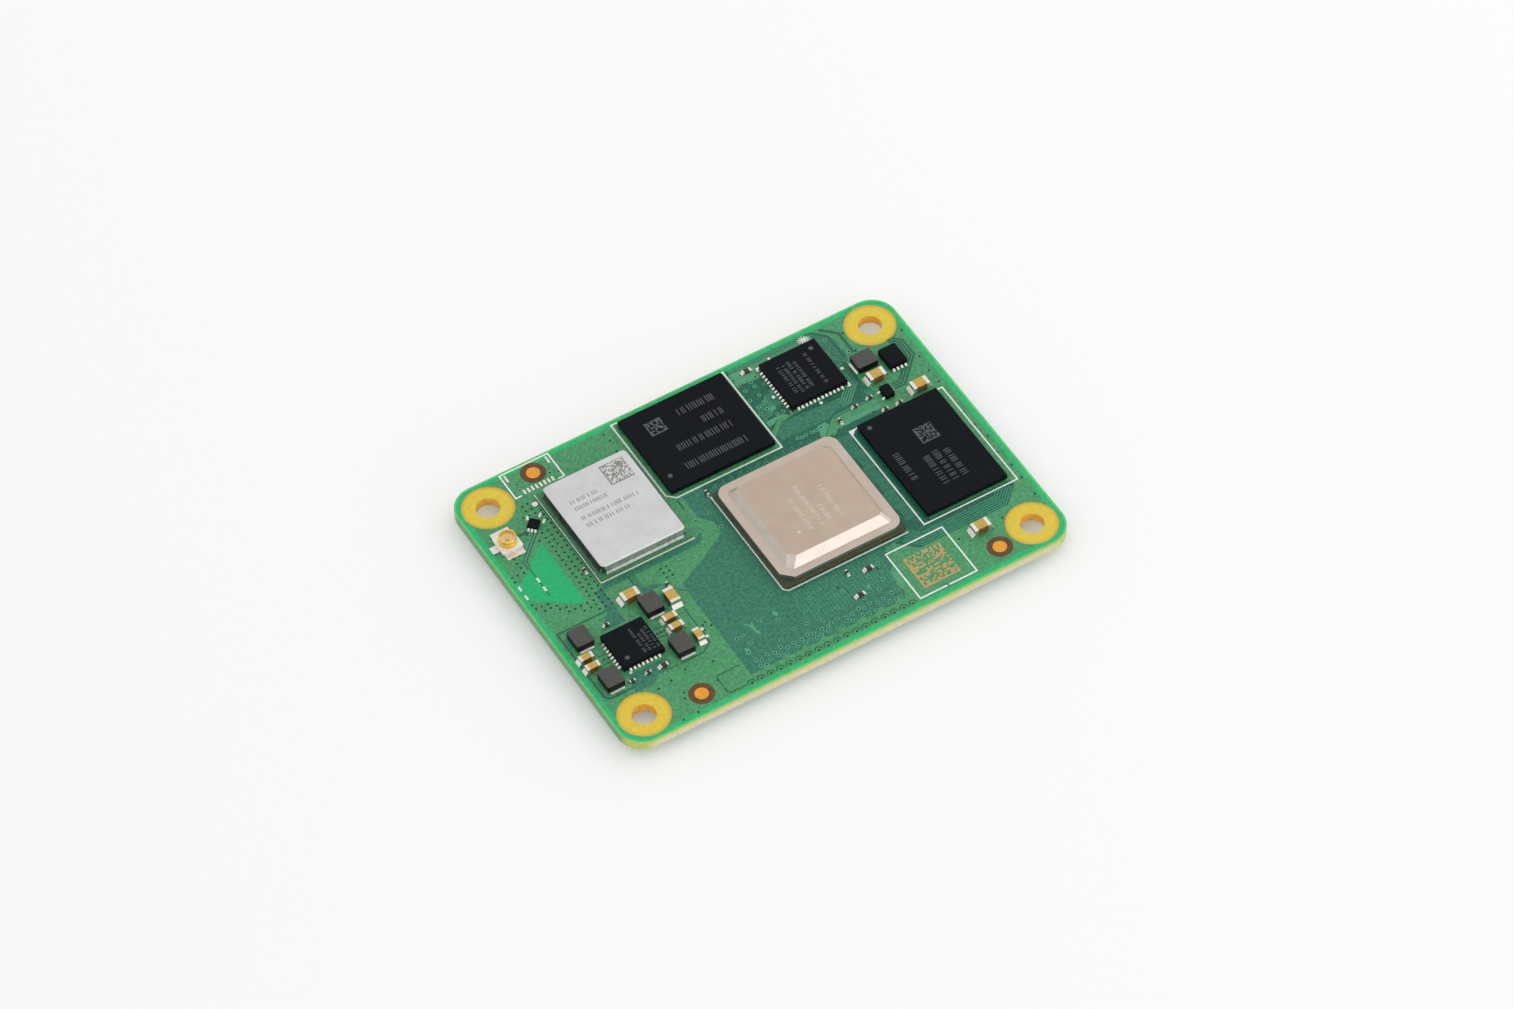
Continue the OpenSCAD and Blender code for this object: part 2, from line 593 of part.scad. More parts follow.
// A square block whose sides slope in by run and meet in bevelled corners. A bevel takes hip from its sides
// at the first and third corners, and small_hip at the second and fourth
module hipped_block(side, h, run, hip, small_hip) {
    intersection() {
        roof(side / 2, h, run);
        rotate(90) roof(side / 2, h, run);
        rotate(45) roof((side - hip) / sqrt(2), h, run * sqrt(2));
        rotate(135) roof((side - small_hip) / sqrt(2), h, run * sqrt(2));
    }
}

// A block with round upright edges and a bevel round its top
module bevelled_block(l, w, h, r, bevel) {
    block(l, w, h - bevel, r);
    translate([0, 0, h - bevel]) sloped_block(l, w, bevel, r, bevel);
}

// A chip package with a first-pin dimple in the corner that the signs sx and sy give
module package(l, w, h, sx, sy, inset_y = dimple_inset) {
    difference() {
        square_block(l, w, h);
        translate([sx * (l / 2 - dimple_inset), sy * (w / 2 - inset_y), h - dimple_depth])
            cylinder(d = dimple_d, h = cut);
    }
}

// One reflowed solder ball, flattened against the board and the package
module solder_ball(h) {
    spread = ball_spread * h;
    intersection() {
        translate([0, 0, h / 2]) sphere(d = spread);
        square_block(2 * spread, 2 * spread, h);
    }
}

// The outer ring of a ball grid of nx by ny balls
module ball_ring(nx, ny, pitch, h) {
    for (i = [0 : nx - 1], j = [0 : ny - 1])
        if (i == 0 || i == nx - 1 || j == 0 || j == ny - 1)
            translate([(i - (nx - 1) / 2) * pitch, (j - (ny - 1) / 2) * pitch, 0]) solder_ball(h);
}

// A row of leads with their solder on the side of a chip that faces +X, at distance half
module lead_row(half, count, pitch) {
    for (i = [0 : count - 1])
        translate([0, (i - (count - 1) / 2) * pitch + lead_w / 2, 0])
            rotate([90, 0, 0]) linear_extrude(lead_w)
                polygon([[half - lead_in, 0], [half + lead_out, 0], [half + lead_out, lead_t / 2],
                    [half, lead_rise], [half, lead_t], [half - lead_in, lead_t]]);
}

// Leads on all four sides of a square chip, and the heat pad under its middle
module quad_leads(side, count) {
    heat_pad_side = side - 2 * (lead_in + heat_pad_gap);
    for (turn = [0 : 90 : 270]) rotate(turn) lead_row(side / 2, count, lead_pitch);
    square_block(heat_pad_side, heat_pad_side, lead_t);
}

// An L-shaped anchor pad outside each corner of a square chip
module anchor_pads(side) {
    outer = side / 2 + lead_out;
    for (turn = [0 : 90 : 270]) rotate(turn) linear_extrude(lead_t / 2) {
        translate([outer - anchor_l, outer - anchor_w]) square([anchor_l, anchor_w]);
        translate([outer - anchor_w, outer - anchor_l]) square([anchor_w, anchor_l]);
    }
}

// The ceramic middle of a two-ended chip of size s, between its metal ends
module chip_middle(s) {
    middle = s.x * (1 - 2 * end_share);
    skin = end_step * s.y;
    translate([0, 0, skin]) square_block(middle, s.y - 2 * skin, s.z - 2 * skin);
}

// The metal ends of a two-ended chip of size s, each with its solder on the board
module chip_ends(s) {
    end = s.x * end_share;
    edge = end_round * s.y;
    reach = s.x / 2 + s.x * solder_share;
    solder_h = solder_climb * s.z;
    for (turn = [0, 180]) rotate(turn) {
        translate([s.x / 2 - end, 0, s.z / 2]) rotate([0, 90, 0]) block(s.z, s.y, end, edge);
        translate([0, s.y / 2, 0]) rotate([90, 0, 0]) linear_extrude(s.y)
            polygon([[s.x / 2 - end, 0], [reach, 0], [reach, solder_rim * solder_h],
                [s.x / 2, solder_h], [s.x / 2 - end, solder_h]]);
    }
}

// Children at a place on the board's top face
module on_top(p, turn = 0) {
    translate([p.x, p.y, top_z]) rotate(turn) children();
}

// Children hung from the board's underside
module on_underside(p) {
    translate([p.x, p.y, under_z]) rotate([180, 0, 0]) children();
}

// Board

module board() {
    color("seagreen") difference() {
        translate([0, 0, under_z]) block(board_l, board_w, board_t, corner_r);
        for (p = hole_places) {
            translate([p.x, p.y, under_z - cut]) cylinder(d = hole_d, h = board_t + 2 * cut);
            translate([p.x, p.y, top_z - mask_t]) cylinder(d = ring_d, h = cut);
            translate([p.x, p.y, under_z - cut]) cylinder(d = ring_d, h = cut + mask_t);
        }
        for (p = fiducial_places)
            translate([p.x, p.y, top_z - mask_t]) cylinder(d = fiducial_ring_d, h = cut);
    }
}

module fiducial_dots() {
    color("orange") for (p = fiducial_places)
        translate([p.x, p.y, top_z - mask_t]) cylinder(d = fiducial_d, h = mask_t);
}

module bare_pads() {
    color("white") for (p = bare_pad_places)
        on_top(p[0], p[1]) square_block(p[2].x, p[2].y, pad_t);
}

// Processor

module processor_substrate() {
    color("darkgreen") translate([soc_x, soc_y, soc_z])
        square_block(soc_side, soc_side, soc_substrate_t);
}

module processor_balls() {
    color("silver") on_top(soc_at)
        ball_ring(soc_balls_side, soc_balls_side, soc_ball_pitch, soc_ball_h);
}

module processor_die() {
    color("dimgray") translate([soc_x, soc_y, lid_z]) square_block(die_side, die_side, lid_hollow_h);
}

// The stamped lid: a brim with one cut corner, a raised middle and a hollow for the die
module processor_lid() {
    color("tan") translate([soc_x, soc_y, lid_z]) difference() {
        union() {
            block(lid_side, lid_side, lid_brim_t, lid_corner_r);
            translate([0, 0, lid_brim_t])
                hipped_block(lid_middle_side, lid_rise, lid_slope_w, lid_hip, lid_small_hip);
        }
        translate([0, 0, -cut])
            block(lid_hollow_side, lid_hollow_side, cut + lid_hollow_h, lid_hollow_r);
        rotate(225) translate([(lid_side - lid_cut) / sqrt(2), -lid_side / 2, -cut])
            cube([lid_side, lid_side, lid_brim_t + 2 * cut]);
    }
}

// Memory and flash

module memory_chip() {
    color("black") on_top(memory_at) translate([0, 0, package_ball_h])
        package(memory_l, memory_w, memory_h - package_ball_h, -1, 1);
}

module memory_balls() {
    nx = floor((memory_l - 2 * ball_margin) / memory_ball_pitch) + 1;
    ny = floor((memory_w - 2 * ball_margin) / memory_ball_pitch) + 1;
    color("silver") on_top(memory_at) ball_ring(nx, ny, memory_ball_pitch, package_ball_h);
}

module flash_chip() {
    color("black") on_top(flash_at) translate([0, 0, package_ball_h])
        package(flash_l, flash_w, flash_h - package_ball_h, -1, -1, flash_dimple_inset);
}

module flash_balls() {
    color("silver") on_top(flash_at)
        ball_ring(flash_balls_side, flash_balls_side, flash_ball_pitch, package_ball_h);
}

// Wireless module

module wireless_carrier() {
    color("green") on_top(carrier_at) square_block(carrier_l, carrier_w, carrier_t);
}

// The folded shield: an open can with a bend round its top, a soldered foot and slit corners
module wireless_shield() {
    color("gainsboro") translate([carrier_at.x, carrier_at.y, shield_z]) difference() {
        union() {
            bevelled_block(shield_l, shield_w, shield_h, shield_corner_r, shield_bend);
            sloped_block(shield_l + 2 * shield_foot_out, shield_w + 2 * shield_foot_out, shield_foot_h,
                shield_corner_r + shield_foot_out, shield_foot_out);
        }
        translate([0, 0, -cut]) block(shield_l - 2 * sheet_t, shield_w - 2 * sheet_t,
            cut + shield_h - sheet_t, shield_corner_r - sheet_t);
        for (sx = [-1, 1], sy = [-1, 1])
            translate([sx * shield_l / 2, sy * shield_w / 2, -cut])
                square_block(2 * shield_slit, 2 * shield_slit, cut + shield_slit_h);
    }
}

module radio_chip() {
    color("black") translate([carrier_at.x, carrier_at.y, shield_z])
        square_block(radio_side, radio_side, radio_h);
}

// Leaded chips

module ethernet_chip() {
    color("black") on_top(ethernet_at) translate([0, 0, lead_t])
        package(ethernet_side, ethernet_side, ethernet_h - lead_t, 1, 1);
}

module ethernet_chip_leads() {
    color("white") on_top(ethernet_at) {
        quad_leads(ethernet_side, ethernet_leads);
        anchor_pads(ethernet_side);
    }
}

module power_chip() {
    color("black") on_top(power_at) translate([0, 0, lead_t])
        package(power_side, power_side, power_h - lead_t, -1, -1);
}

module power_chip_leads() {
    color("white") on_top(power_at) quad_leads(power_side, power_leads);
}

module antenna_switch() {
    color("black") on_top(antenna_switch_at, antenna_switch_turn) translate([0, 0, lead_t])
        square_block(antenna_switch_side, antenna_switch_side, antenna_switch_h - lead_t);
}

module antenna_switch_leads() {
    color("white") on_top(antenna_switch_at, antenna_switch_turn)
        for (turn = [90, 270]) rotate(turn)
            lead_row(antenna_switch_side / 2, antenna_switch_leads_side, antenna_switch_pitch);
}

module reset_transistor() {
    color("black") on_top(transistor_at) translate([0, 0, lead_t])
        bevelled_block(transistor_l, transistor_w, transistor_h - lead_t, mould_r, mould_bevel);
}

module reset_transistor_leads() {
    color("white") on_top(transistor_at) {
        lead_row(transistor_l / 2, 1, transistor_pitch);
        rotate(180) lead_row(transistor_l / 2, 2, transistor_pitch);
    }
}

module load_switch() {
    color("black") on_top(load_switch_at) translate([0, 0, lead_t])
        bevelled_block(load_switch_l, load_switch_w, load_switch_h - lead_t, mould_r, mould_bevel);
}

module load_switch_leads() {
    color("white") on_top(load_switch_at)
        for (turn = [90, 270]) rotate(turn) lead_row(load_switch_w / 2, load_switch_leads_end, lead_pitch);
}

// Coils, capacitors and resistors

module coil(place) {
    color("dimgray") on_top(place, place.z) translate([0, 0, coil_terminal_t])
        bevelled_block(coil_l, coil_w, coil_h - coil_terminal_t, mould_r, mould_bevel);
}

// The flat terminals under each coil, with their solder past the coil's ends
module coil_terminals() {
    half = coil_l / 2;
    color("white") for (p = coil_places, turn = [0, 180])
        on_top(p, p.z + turn) translate([0, coil_terminal_w / 2, 0])
            rotate([90, 0, 0]) linear_extrude(coil_terminal_w)
                polygon([[half - coil_terminal_l, 0], [half + coil_solder_out, 0],
                    [half + coil_solder_out, coil_terminal_t / 2], [half, coil_terminal_t],
                    [half - coil_terminal_l, coil_terminal_t]]);
}

module capacitor(place) {
    color("peru") on_top(place[0], place[1]) chip_middle(place[2]);
}

module capacitor_ends() {
    color("white") for (p = cap_places) on_top(p[0], p[1]) chip_ends(p[2]);
}

module chip_resistors() {
    color("saddlebrown") for (p = chip_places) on_top(p[0], p[1]) chip_middle(p[2]);
}

module chip_resistor_ends() {
    color("white") for (p = chip_places) on_top(p[0], p[1]) chip_ends(p[2]);
}

// Antenna jack

// The moulded base on its feet, with a collar inside the shell and a hole for the pin
module antenna_jack_base() {
    color("ivory") on_top(jack_at) translate([0, 0, jack_foot_t]) difference() {
        union() {
            block(jack_side, jack_side, jack_base_t, mould_r);
            cylinder(d = jack_shell_d - 2 * jack_shell_t, h = jack_base_t + jack_collar_h);
        }
        translate([0, 0, jack_base_t]) cylinder(d = jack_pin_d, h = jack_collar_h + cut);
    }
}

// The round shell, with a snap groove below its rim
module antenna_jack_shell() {
    r = jack_shell_d / 2;
    rim = jack_h - jack_foot_t - jack_base_t;
    color("gold") on_top(jack_at) translate([0, 0, jack_foot_t + jack_base_t]) rotate_extrude()
        polygon([[r - jack_shell_t, 0], [r, 0], [r, groove_levels[0] * rim],
            [r - jack_groove, groove_levels[1] * rim], [r - jack_groove, groove_levels[2] * rim],
            [r, groove_levels[3] * rim], [r, groove_levels[4] * rim], [r - jack_groove, rim],
            [r - jack_shell_t, rim]]);
}

// The centre pin, with a tapered tip
module antenna_jack_pin() {
    r = jack_pin_d / 2;
    h = jack_h - jack_foot_t - jack_base_t - jack_pin_gap;
    tip = r / 2;
    color("gold") on_top(jack_at) translate([0, 0, jack_foot_t + jack_base_t]) {
        cylinder(r = r, h = h - tip);
        translate([0, 0, h - tip]) cylinder(r1 = r, r2 = r - tip, h = tip);
    }
}

// Two ground feet and one signal foot, each reaching under the base
module antenna_jack_feet() {
    inner = jack_side / 2 - jack_foot_in;
    length = jack_foot_in + jack_foot_out;
    color("white") on_top(jack_at) {
        for (turn = [90, 270])
            rotate(turn) translate([inner, -jack_ground_l / 2, 0]) cube([length, jack_ground_l, jack_foot_t]);
        rotate(180) translate([inner, -jack_signal_w / 2, 0]) cube([length, jack_signal_w, jack_foot_t]);
    }
}

// Mezzanine connectors, drawn from the board's underside towards the mating face

// A housing with a wall on each side of its trench, and a full-height tower at each end
module connector_housing() {
    color("black") difference() {
        square_block(conn_l, conn_w, conn_h);
        translate([0, 0, conn_base_t]) square_block(trench_l, trench_w, conn_h);
        translate([0, 0, wall_h]) square_block(trench_l, 2 * conn_w, conn_h);
    }
}

// Contacts, each folded from its tail on the board over the wall and down into the trench
module connector_contacts() {
    outer = conn_w / 2;
    inner = trench_w / 2;
    crest = wall_h + contact_t;
    tip = conn_base_t + contact_t;
    color("gold") for (turn = [0, 180], i = [0 : conn_ways - 1])
        rotate(turn) translate([(i - (conn_ways - 1) / 2) * conn_pitch - contact_w / 2, 0, 0])
            rotate([90, 0, 90]) linear_extrude(contact_w)
                polygon([[outer, 0], [outer + tail_out, 0], [outer + tail_out, contact_t],
                    [outer + contact_t, contact_t], [outer + contact_t, crest],
                    [inner - contact_t, crest], [inner - contact_t, tip], [inner, tip],
                    [inner, wall_h], [outer, wall_h]]);
}

module underside_capacitors() {
    color("peru") for (p = decoupling_places) on_underside(p[0]) chip_middle(p[2]);
}

module underside_capacitor_ends() {
    color("white") for (p = decoupling_places) on_underside(p[0]) chip_ends(p[2]);
}

board();
fiducial_dots();
bare_pads();
processor_substrate();
processor_balls();
processor_die();
processor_lid();
memory_chip();
memory_balls();
flash_chip();
flash_balls();
wireless_carrier();
wireless_shield();
radio_chip();
ethernet_chip();
ethernet_chip_leads();
power_chip();
power_chip_leads();
antenna_switch();
antenna_switch_leads();
reset_transistor();
reset_transistor_leads();
load_switch();
load_switch_leads();
for (i = [0 : len(power_coil_places) - 1])
    coil(power_coil_places[i]);
coil(ethernet_coil_place);  // ethernet_coil
coil_terminals();
for (i = [0 : len(power_cap_places) - 1])
    capacitor(power_cap_places[i]);
capacitor(ethernet_cap_place);  // ethernet_capacitor
capacitor(memory_cap_place);  // memory_capacitor
capacitor(corner_cap_place);  // corner_capacitor
capacitor_ends();
chip_resistors();
chip_resistor_ends();
antenna_jack_base();
antenna_jack_shell();
antenna_jack_pin();
antenna_jack_feet();
on_underside([0, -conn_y]) connector_housing();  // connector_front_housing
on_underside([0, -conn_y]) connector_contacts();  // connector_front_contacts
on_underside([0, conn_y]) connector_housing();  // connector_back_housing
on_underside([0, conn_y]) connector_contacts();  // connector_back_contacts
underside_capacitors();
underside_capacitor_ends();
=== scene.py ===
# %% [markdown]
# # A system on module
# A small computer board, 55 mm long, that plugs into a larger one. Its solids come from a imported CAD
# model, which is loaded as a fixed frame. The board, the chips and the metalwork keep those solids and get
# finishes. What is too thin for CAD is added here: the copper that shows through the solder mask, the
# plated holes, the white ink and the marks on the chips.

# %% Load the frame
import json
import math
import random

import bpy
from mathutils import Matrix, Vector


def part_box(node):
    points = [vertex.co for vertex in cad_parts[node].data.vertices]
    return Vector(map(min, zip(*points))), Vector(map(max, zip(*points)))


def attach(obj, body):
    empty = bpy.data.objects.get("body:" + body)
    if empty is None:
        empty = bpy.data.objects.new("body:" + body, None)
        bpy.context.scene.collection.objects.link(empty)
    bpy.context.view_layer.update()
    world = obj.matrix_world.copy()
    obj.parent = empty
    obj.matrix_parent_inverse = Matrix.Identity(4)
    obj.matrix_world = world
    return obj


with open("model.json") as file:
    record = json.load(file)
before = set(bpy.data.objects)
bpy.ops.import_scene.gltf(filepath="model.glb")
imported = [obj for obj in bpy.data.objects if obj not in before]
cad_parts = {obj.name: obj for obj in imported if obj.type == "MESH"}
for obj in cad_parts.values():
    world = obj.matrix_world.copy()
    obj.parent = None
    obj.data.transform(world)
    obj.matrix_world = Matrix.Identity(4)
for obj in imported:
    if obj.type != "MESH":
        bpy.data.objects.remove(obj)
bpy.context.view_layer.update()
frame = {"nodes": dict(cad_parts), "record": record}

nodes = frame["nodes"]
MM = 0.001
print("CAD nodes:", len(nodes))

# %% [markdown]
# ## The camera
# A product photographer's long lens flattens the view, so the far edge of the board is nearly as long as
# the near one. The four screw holes stand on a rectangle of known size, so the direction, distance and
# focal length follow from where they appear. The camera's axes are worked out from those angles, because
# an Euler rotation hides the small roll that a hand-held frame has.

# %% Camera
IMAGE_W = 1514
FOCAL_PIXELS = 7118.7
SENSOR_MM = 36
CAMERA_AZIMUTH = -28.889
CAMERA_ELEVATION = 50.681
CAMERA_ROLL = -2.747
CAMERA_DISTANCE = 761.47 * MM
CAMERA_TARGET = Vector((0.563, 1.445, 2.322)) * MM

turn, rise, roll = (math.radians(a) for a in (CAMERA_AZIMUTH, CAMERA_ELEVATION, CAMERA_ROLL))
back = Vector((math.sin(turn) * math.cos(rise), -math.cos(turn) * math.cos(rise), math.sin(rise)))
level = Vector((math.cos(turn), math.sin(turn), 0))
upright = back.cross(level)
right = level * math.cos(roll) + upright * math.sin(roll)
up = upright * math.cos(roll) - level * math.sin(roll)
camera = bpy.data.objects.new("camera", bpy.data.cameras.new("camera"))
bpy.context.collection.objects.link(camera)
camera.matrix_world = Matrix.Translation(CAMERA_TARGET + back * CAMERA_DISTANCE) @ Matrix(
    (right, up, back)).transposed().to_4x4()
camera.data.sensor_width = SENSOR_MM
camera.data.lens = SENSOR_MM * FOCAL_PIXELS / IMAGE_W
camera.data.clip_start = 0.01
bpy.context.scene.camera = camera
print("lens:", round(camera.data.lens, 1), "mm")

# %% [markdown]
# ## Shader nodes and colours
# Colours are written as the sRGB hex values that a paint card would give, and one function turns them into
# the linear values that shaders add up. One more function adds any shader node: its settings by name, and
# for each input either a constant or the socket that feeds it. Patterns are measured on the object itself,
# in millimetres, so that a grain of 0.3 mm is 0.3 mm on every piece.

# %% Colours, nodes and a new material
def linear(hex_colour):
    """An sRGB hex colour as linear red, green, blue and alpha."""
    parts = [int(hex_colour[i:i + 2], 16) / 255 for i in (1, 3, 5)]
    return [c / 12.92 if c <= 0.04045 else ((c + 0.055) / 1.055) ** 2.4 for c in parts] + [1]


def add(tree, kind, feeds=None, **settings):
    """A shader node of that kind. feeds maps an input to a constant or to the socket that feeds it."""
    node = tree.nodes.new("ShaderNode" + kind)
    for name, value in settings.items():
        setattr(node, name, value)
    for key, value in (feeds or {}).items():
        if isinstance(value, bpy.types.NodeSocket):
            tree.links.new(value, node.inputs[key])
        else:
            node.inputs[key].default_value = value
    return node


def new_finish(name, **constants):
    """A material, its node tree, its shader with those constant inputs, and the place in millimetres."""
    finish = bpy.data.materials.new(name)
    finish.use_nodes = True
    tree = finish.node_tree
    shader = tree.nodes["Principled BSDF"]
    for key, value in constants.items():
        shader.inputs[key.replace("_", " ")].default_value = value
    place = add(tree, "TexCoord").outputs["Object"]
    millimetres = add(tree, "VectorMath", {0: place, 1: (1 / MM,) * 3}, operation="MULTIPLY").outputs[0]
    return finish, tree, shader, millimetres


MOTTLE_SPREAD = (0.35, 0.65)
FINE_DETAIL = 3.0


def mottle(tree, place, grain, stops, detail=2.0):
    """A colour that wanders between two hex stops in patches of about that grain, in millimetres."""
    noise = add(tree, "TexNoise", {"Vector": place, "Scale": 1 / grain, "Detail": detail})
    ramp = add(tree, "ValToRGB", {"Fac": noise.outputs["Fac"]})
    for element, position, stop in zip(ramp.color_ramp.elements, MOTTLE_SPREAD, stops):
        element.position = position
        element.color = linear(stop)
    return ramp.outputs["Color"]


def roughen(tree, shader, place, grain, rough, height):
    """Roughness that varies between the two values of rough, and a bump of that height, in millimetres."""
    feeds = {"Vector": place, "Scale": 1 / grain, "Detail": FINE_DETAIL}
    noise = add(tree, "TexNoise", feeds).outputs["Fac"]
    spread = add(tree, "MapRange", {"Value": noise, "To Min": rough[0], "To Max": rough[1]})
    tree.links.new(spread.outputs["Result"], shader.inputs["Roughness"])
    bump = add(tree, "Bump", {"Height": noise, "Strength": 1.0, "Distance": height * MM})
    tree.links.new(bump.outputs["Normal"], shader.inputs["Normal"])


def mix(tree, share, first, second):
    """first where share is 0 and second where it is 1; both are colour sockets or hex values."""
    feeds = {"Factor": share}
    for key, value in ((6, first), (7, second)):
        feeds[key] = linear(value) if isinstance(value, str) else value
    return add(tree, "Mix", feeds, data_type="RGBA").outputs[2]


def step(tree, value, edge, width=0.02):
    """0 below an edge and 1 above it, with a ramp of that width between."""
    feeds = {"Value": value, "From Min": edge - width / 2, "From Max": edge + width / 2}
    return add(tree, "MapRange", feeds).outputs["Result"]


def calc(tree, operation, *values):
    """One step of arithmetic on numbers or sockets."""
    return add(tree, "Math", dict(enumerate(values)), operation=operation).outputs[0]


print("shader helpers ready")

# %% [markdown]
# ## Moulded and fired finishes
# Chip packages are epoxy filled with ground silica: nearly black, with a fine grit that scatters light, so
# the gloss is weak. The coils are iron powder pressed in resin, which is greyer and rougher, and their
# sides are painted near black as shade. The capacitors are fired ceramic, tan on top and browner down the
# sides, which is painted shade where less light falls. Each is one small node tree with its own grain.

# %% Moulding compound, pressed iron powder, ceramic, plastics
def moulded(name, stops, grain, rough, height, level=0.5, metal=0.0):
    """A finish of one mottled colour with a grain."""
    finish, tree, shader, place = new_finish(name, Specular_IOR_Level=level, Metallic=metal)
    tree.links.new(mottle(tree, place, grain, stops), shader.inputs["Base Color"])
    roughen(tree, shader, place, grain, rough, height)
    return finish


def fired(name, top, side, grain, level=0.4):
    """A finish that is one colour on top and another down its sides; on the coils and capacitors the side
    colour is painted shade.
    """
    finish, tree, shader, place = new_finish(name, Specular_IOR_Level=level)
    normal = add(tree, "NewGeometry").outputs["Normal"]
    upward = add(tree, "SeparateXYZ", {0: normal}).outputs["Z"]
    steep = step(tree, upward, 0.5, 0.4)
    colour = mix(tree, steep, mottle(tree, place, grain, side), mottle(tree, place, grain, top))
    tree.links.new(colour, shader.inputs["Base Color"])
    roughen(tree, shader, place, grain, (0.4, 0.6), 0.004)
    return finish


moulding_compound = moulded("silica filled epoxy", ("#080b11", "#0d1117"), 0.12, (0.5, 0.65), 0.004, 0.1)
# The coils' near-black sides are painted shade; their tops are the grey of the iron powder.
iron_powder_painted_shade = fired("pressed iron powder", ("#454543", "#525250"), ("#0c0c0c", "#151514"), 0.16, 0.25)
jack_plastic = moulded("ivory liquid crystal polymer", ("#ece5d8", "#f5f0e6"), 0.3, (0.4, 0.55), 0.003)
connector_plastic = moulded("black liquid crystal polymer", ("#0e0e10", "#17171a"), 0.2, (0.45, 0.6), 0.003)
package_laminate = fired("package laminate", ("#22392b", "#2b4636"), ("#5d4230", "#6f5039"), 0.3)
module_laminate = fired("green module laminate", ("#2f7a55", "#3f8a63"), ("#4d7a50", "#6a9160"), 0.3)
# The capacitors' browner sides are painted shade where less light falls on them.
capacitor_ceramic = fired("capacitor ceramic", ("#b8963f", "#cbab54"), ("#6a4226", "#875a34"), 0.25)
chip_ceramic = fired("resistor ceramic", ("#2a211b", "#463629"), ("#3a2a20", "#4d3a2c"), 0.15)
silicon = moulded("ground silicon", ("#4b4c52", "#5b5c62"), 0.2, (0.2, 0.3), 0.001)
print("moulded and fired finishes ready")

# %% [markdown]
# ## Metals
# Each metal is a bare reflector, so what the eye gets is its tint and how far its surface blurs the studio.
# The processor's lid is copper plated with satin nickel, which is warm beside the cool nickel silver of the
# shield. The slopes of the lid's raised middle are painted paler than its flats as a painted highlight, so
# they are told apart by how steep they are, and the brim by its height. The shield's top is bright and its
# walls are painted duller: the left one near black as painted shade, the front one a mid grey with less metal
# in it, standing in for the light it reflects. Solder freezes with a fine skin. Gold plate on the jack and
# the contacts is bright.

# %% Nickel, nickel silver, solder, gold, copper
def plated(name, stops, grain, rough, height):
    """A metal with a faint mottle in its tint and its polish."""
    return moulded(name, stops, grain, rough, height, metal=1.0)


WALL_METAL = 0.4
WALL_GRAIN = 0.6
SHEET_GRAIN = 1.6


def folded(name, crown, top, front, left):
    """Sheet metal folded into a can: bright down to the height of its crown, with walls below painted duller,
    the left one darkest as painted shade.
    """
    finish, tree, shader, place = new_finish(name)
    leftward = add(tree, "SeparateXYZ", {0: add(tree, "NewGeometry").outputs["Normal"]}).outputs["X"]
    height = add(tree, "SeparateXYZ", {0: place}).outputs["Z"]
    # Painted wall colours: the left wall near black as painted shade, the front wall a mid grey standing in
    # for the light it reflects.
    left_wall_painted_shade, front_wall_painted_light = (mottle(tree, place, WALL_GRAIN, stops) for stops in (left, front))
    walls = mix(tree, step(tree, leftward, -0.5, 0.2), left_wall_painted_shade, front_wall_painted_light)
    crowned = step(tree, height, crown)
    colour = mix(tree, crowned, walls, mottle(tree, place, SHEET_GRAIN, top))
    tree.links.new(colour, shader.inputs["Base Color"])
    dull = add(tree, "MapRange", {"Value": crowned, "To Min": WALL_METAL, "To Max": 1.0})
    tree.links.new(dull.outputs["Result"], shader.inputs["Metallic"])
    roughen(tree, shader, place, SHEET_GRAIN, (0.26, 0.3), 0.0003)
    return finish


LID_GRAIN = 2.2
SLOPE_GRAIN = 1.2
SLOPE_DRAG = 0.05


def drawn(name, brim_top, flat, brim, slope):
    """Sheet metal drawn over a punch: satin on top, paler on the brim, and on the slopes between rougher and
    painted paler as a highlight.
    """
    finish, tree, shader, place = new_finish(name, Metallic=1.0)
    upward = add(tree, "SeparateXYZ", {0: add(tree, "NewGeometry").outputs["Normal"]}).outputs["Z"]
    height = add(tree, "SeparateXYZ", {0: place}).outputs["Z"]
    on_brim, on_top = (mottle(tree, place, LID_GRAIN, stops) for stops in (brim, flat))
    level = mix(tree, step(tree, height, brim_top), on_brim, on_top)
    flatness = step(tree, upward, 0.85, 0.1)
    # The slopes get their own paler colour, a painted highlight.
    colour = mix(tree, flatness, mottle(tree, place, SLOPE_GRAIN, slope), level)
    tree.links.new(colour, shader.inputs["Base Color"])
    roughen(tree, shader, place, LID_GRAIN, (0.3, 0.33), 0.0002)
    satin = shader.inputs["Roughness"].links[0].from_socket
    drag = add(tree, "MapRange", {"Value": flatness, "To Min": SLOPE_DRAG, "To Max": 0.0})
    rougher = calc(tree, "ADD", satin, drag.outputs["Result"])
    tree.links.new(rougher, shader.inputs["Roughness"])
    return finish


SHIELD_BEND = 0.2
LID_RISE = 0.5
lid_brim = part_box("processor_lid")[1][2] / MM - LID_RISE
shield_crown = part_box("wireless_shield")[1][2] / MM - SHIELD_BEND
nickel_plate = drawn("satin nickel on copper", lid_brim, flat=("#bda999", "#c1ae9d"),
                     brim=("#c3b3a7", "#c8b9ad"), slope=("#d6cabf", "#dcd1c7"))
shield_metal = folded("nickel silver sheet", shield_crown, top=("#d2d1d1", "#d8d8d8"),
                      front=("#a2a39c", "#bfbfb9"), left=("#232523", "#454742"))
solder = plated("tin solder", ("#dcd7ce", "#ece8e0"), 0.15, (0.25, 0.42), 0.005)
gold_plate = plated("gold plate", ("#efbb48", "#fad56e"), 0.2, (0.18, 0.28), 0.002)
coated_copper = moulded("coated copper", ("#e0962a", "#eba63c"), 0.3, (0.4, 0.55), 0.002, metal=0.6)
print("metals ready")
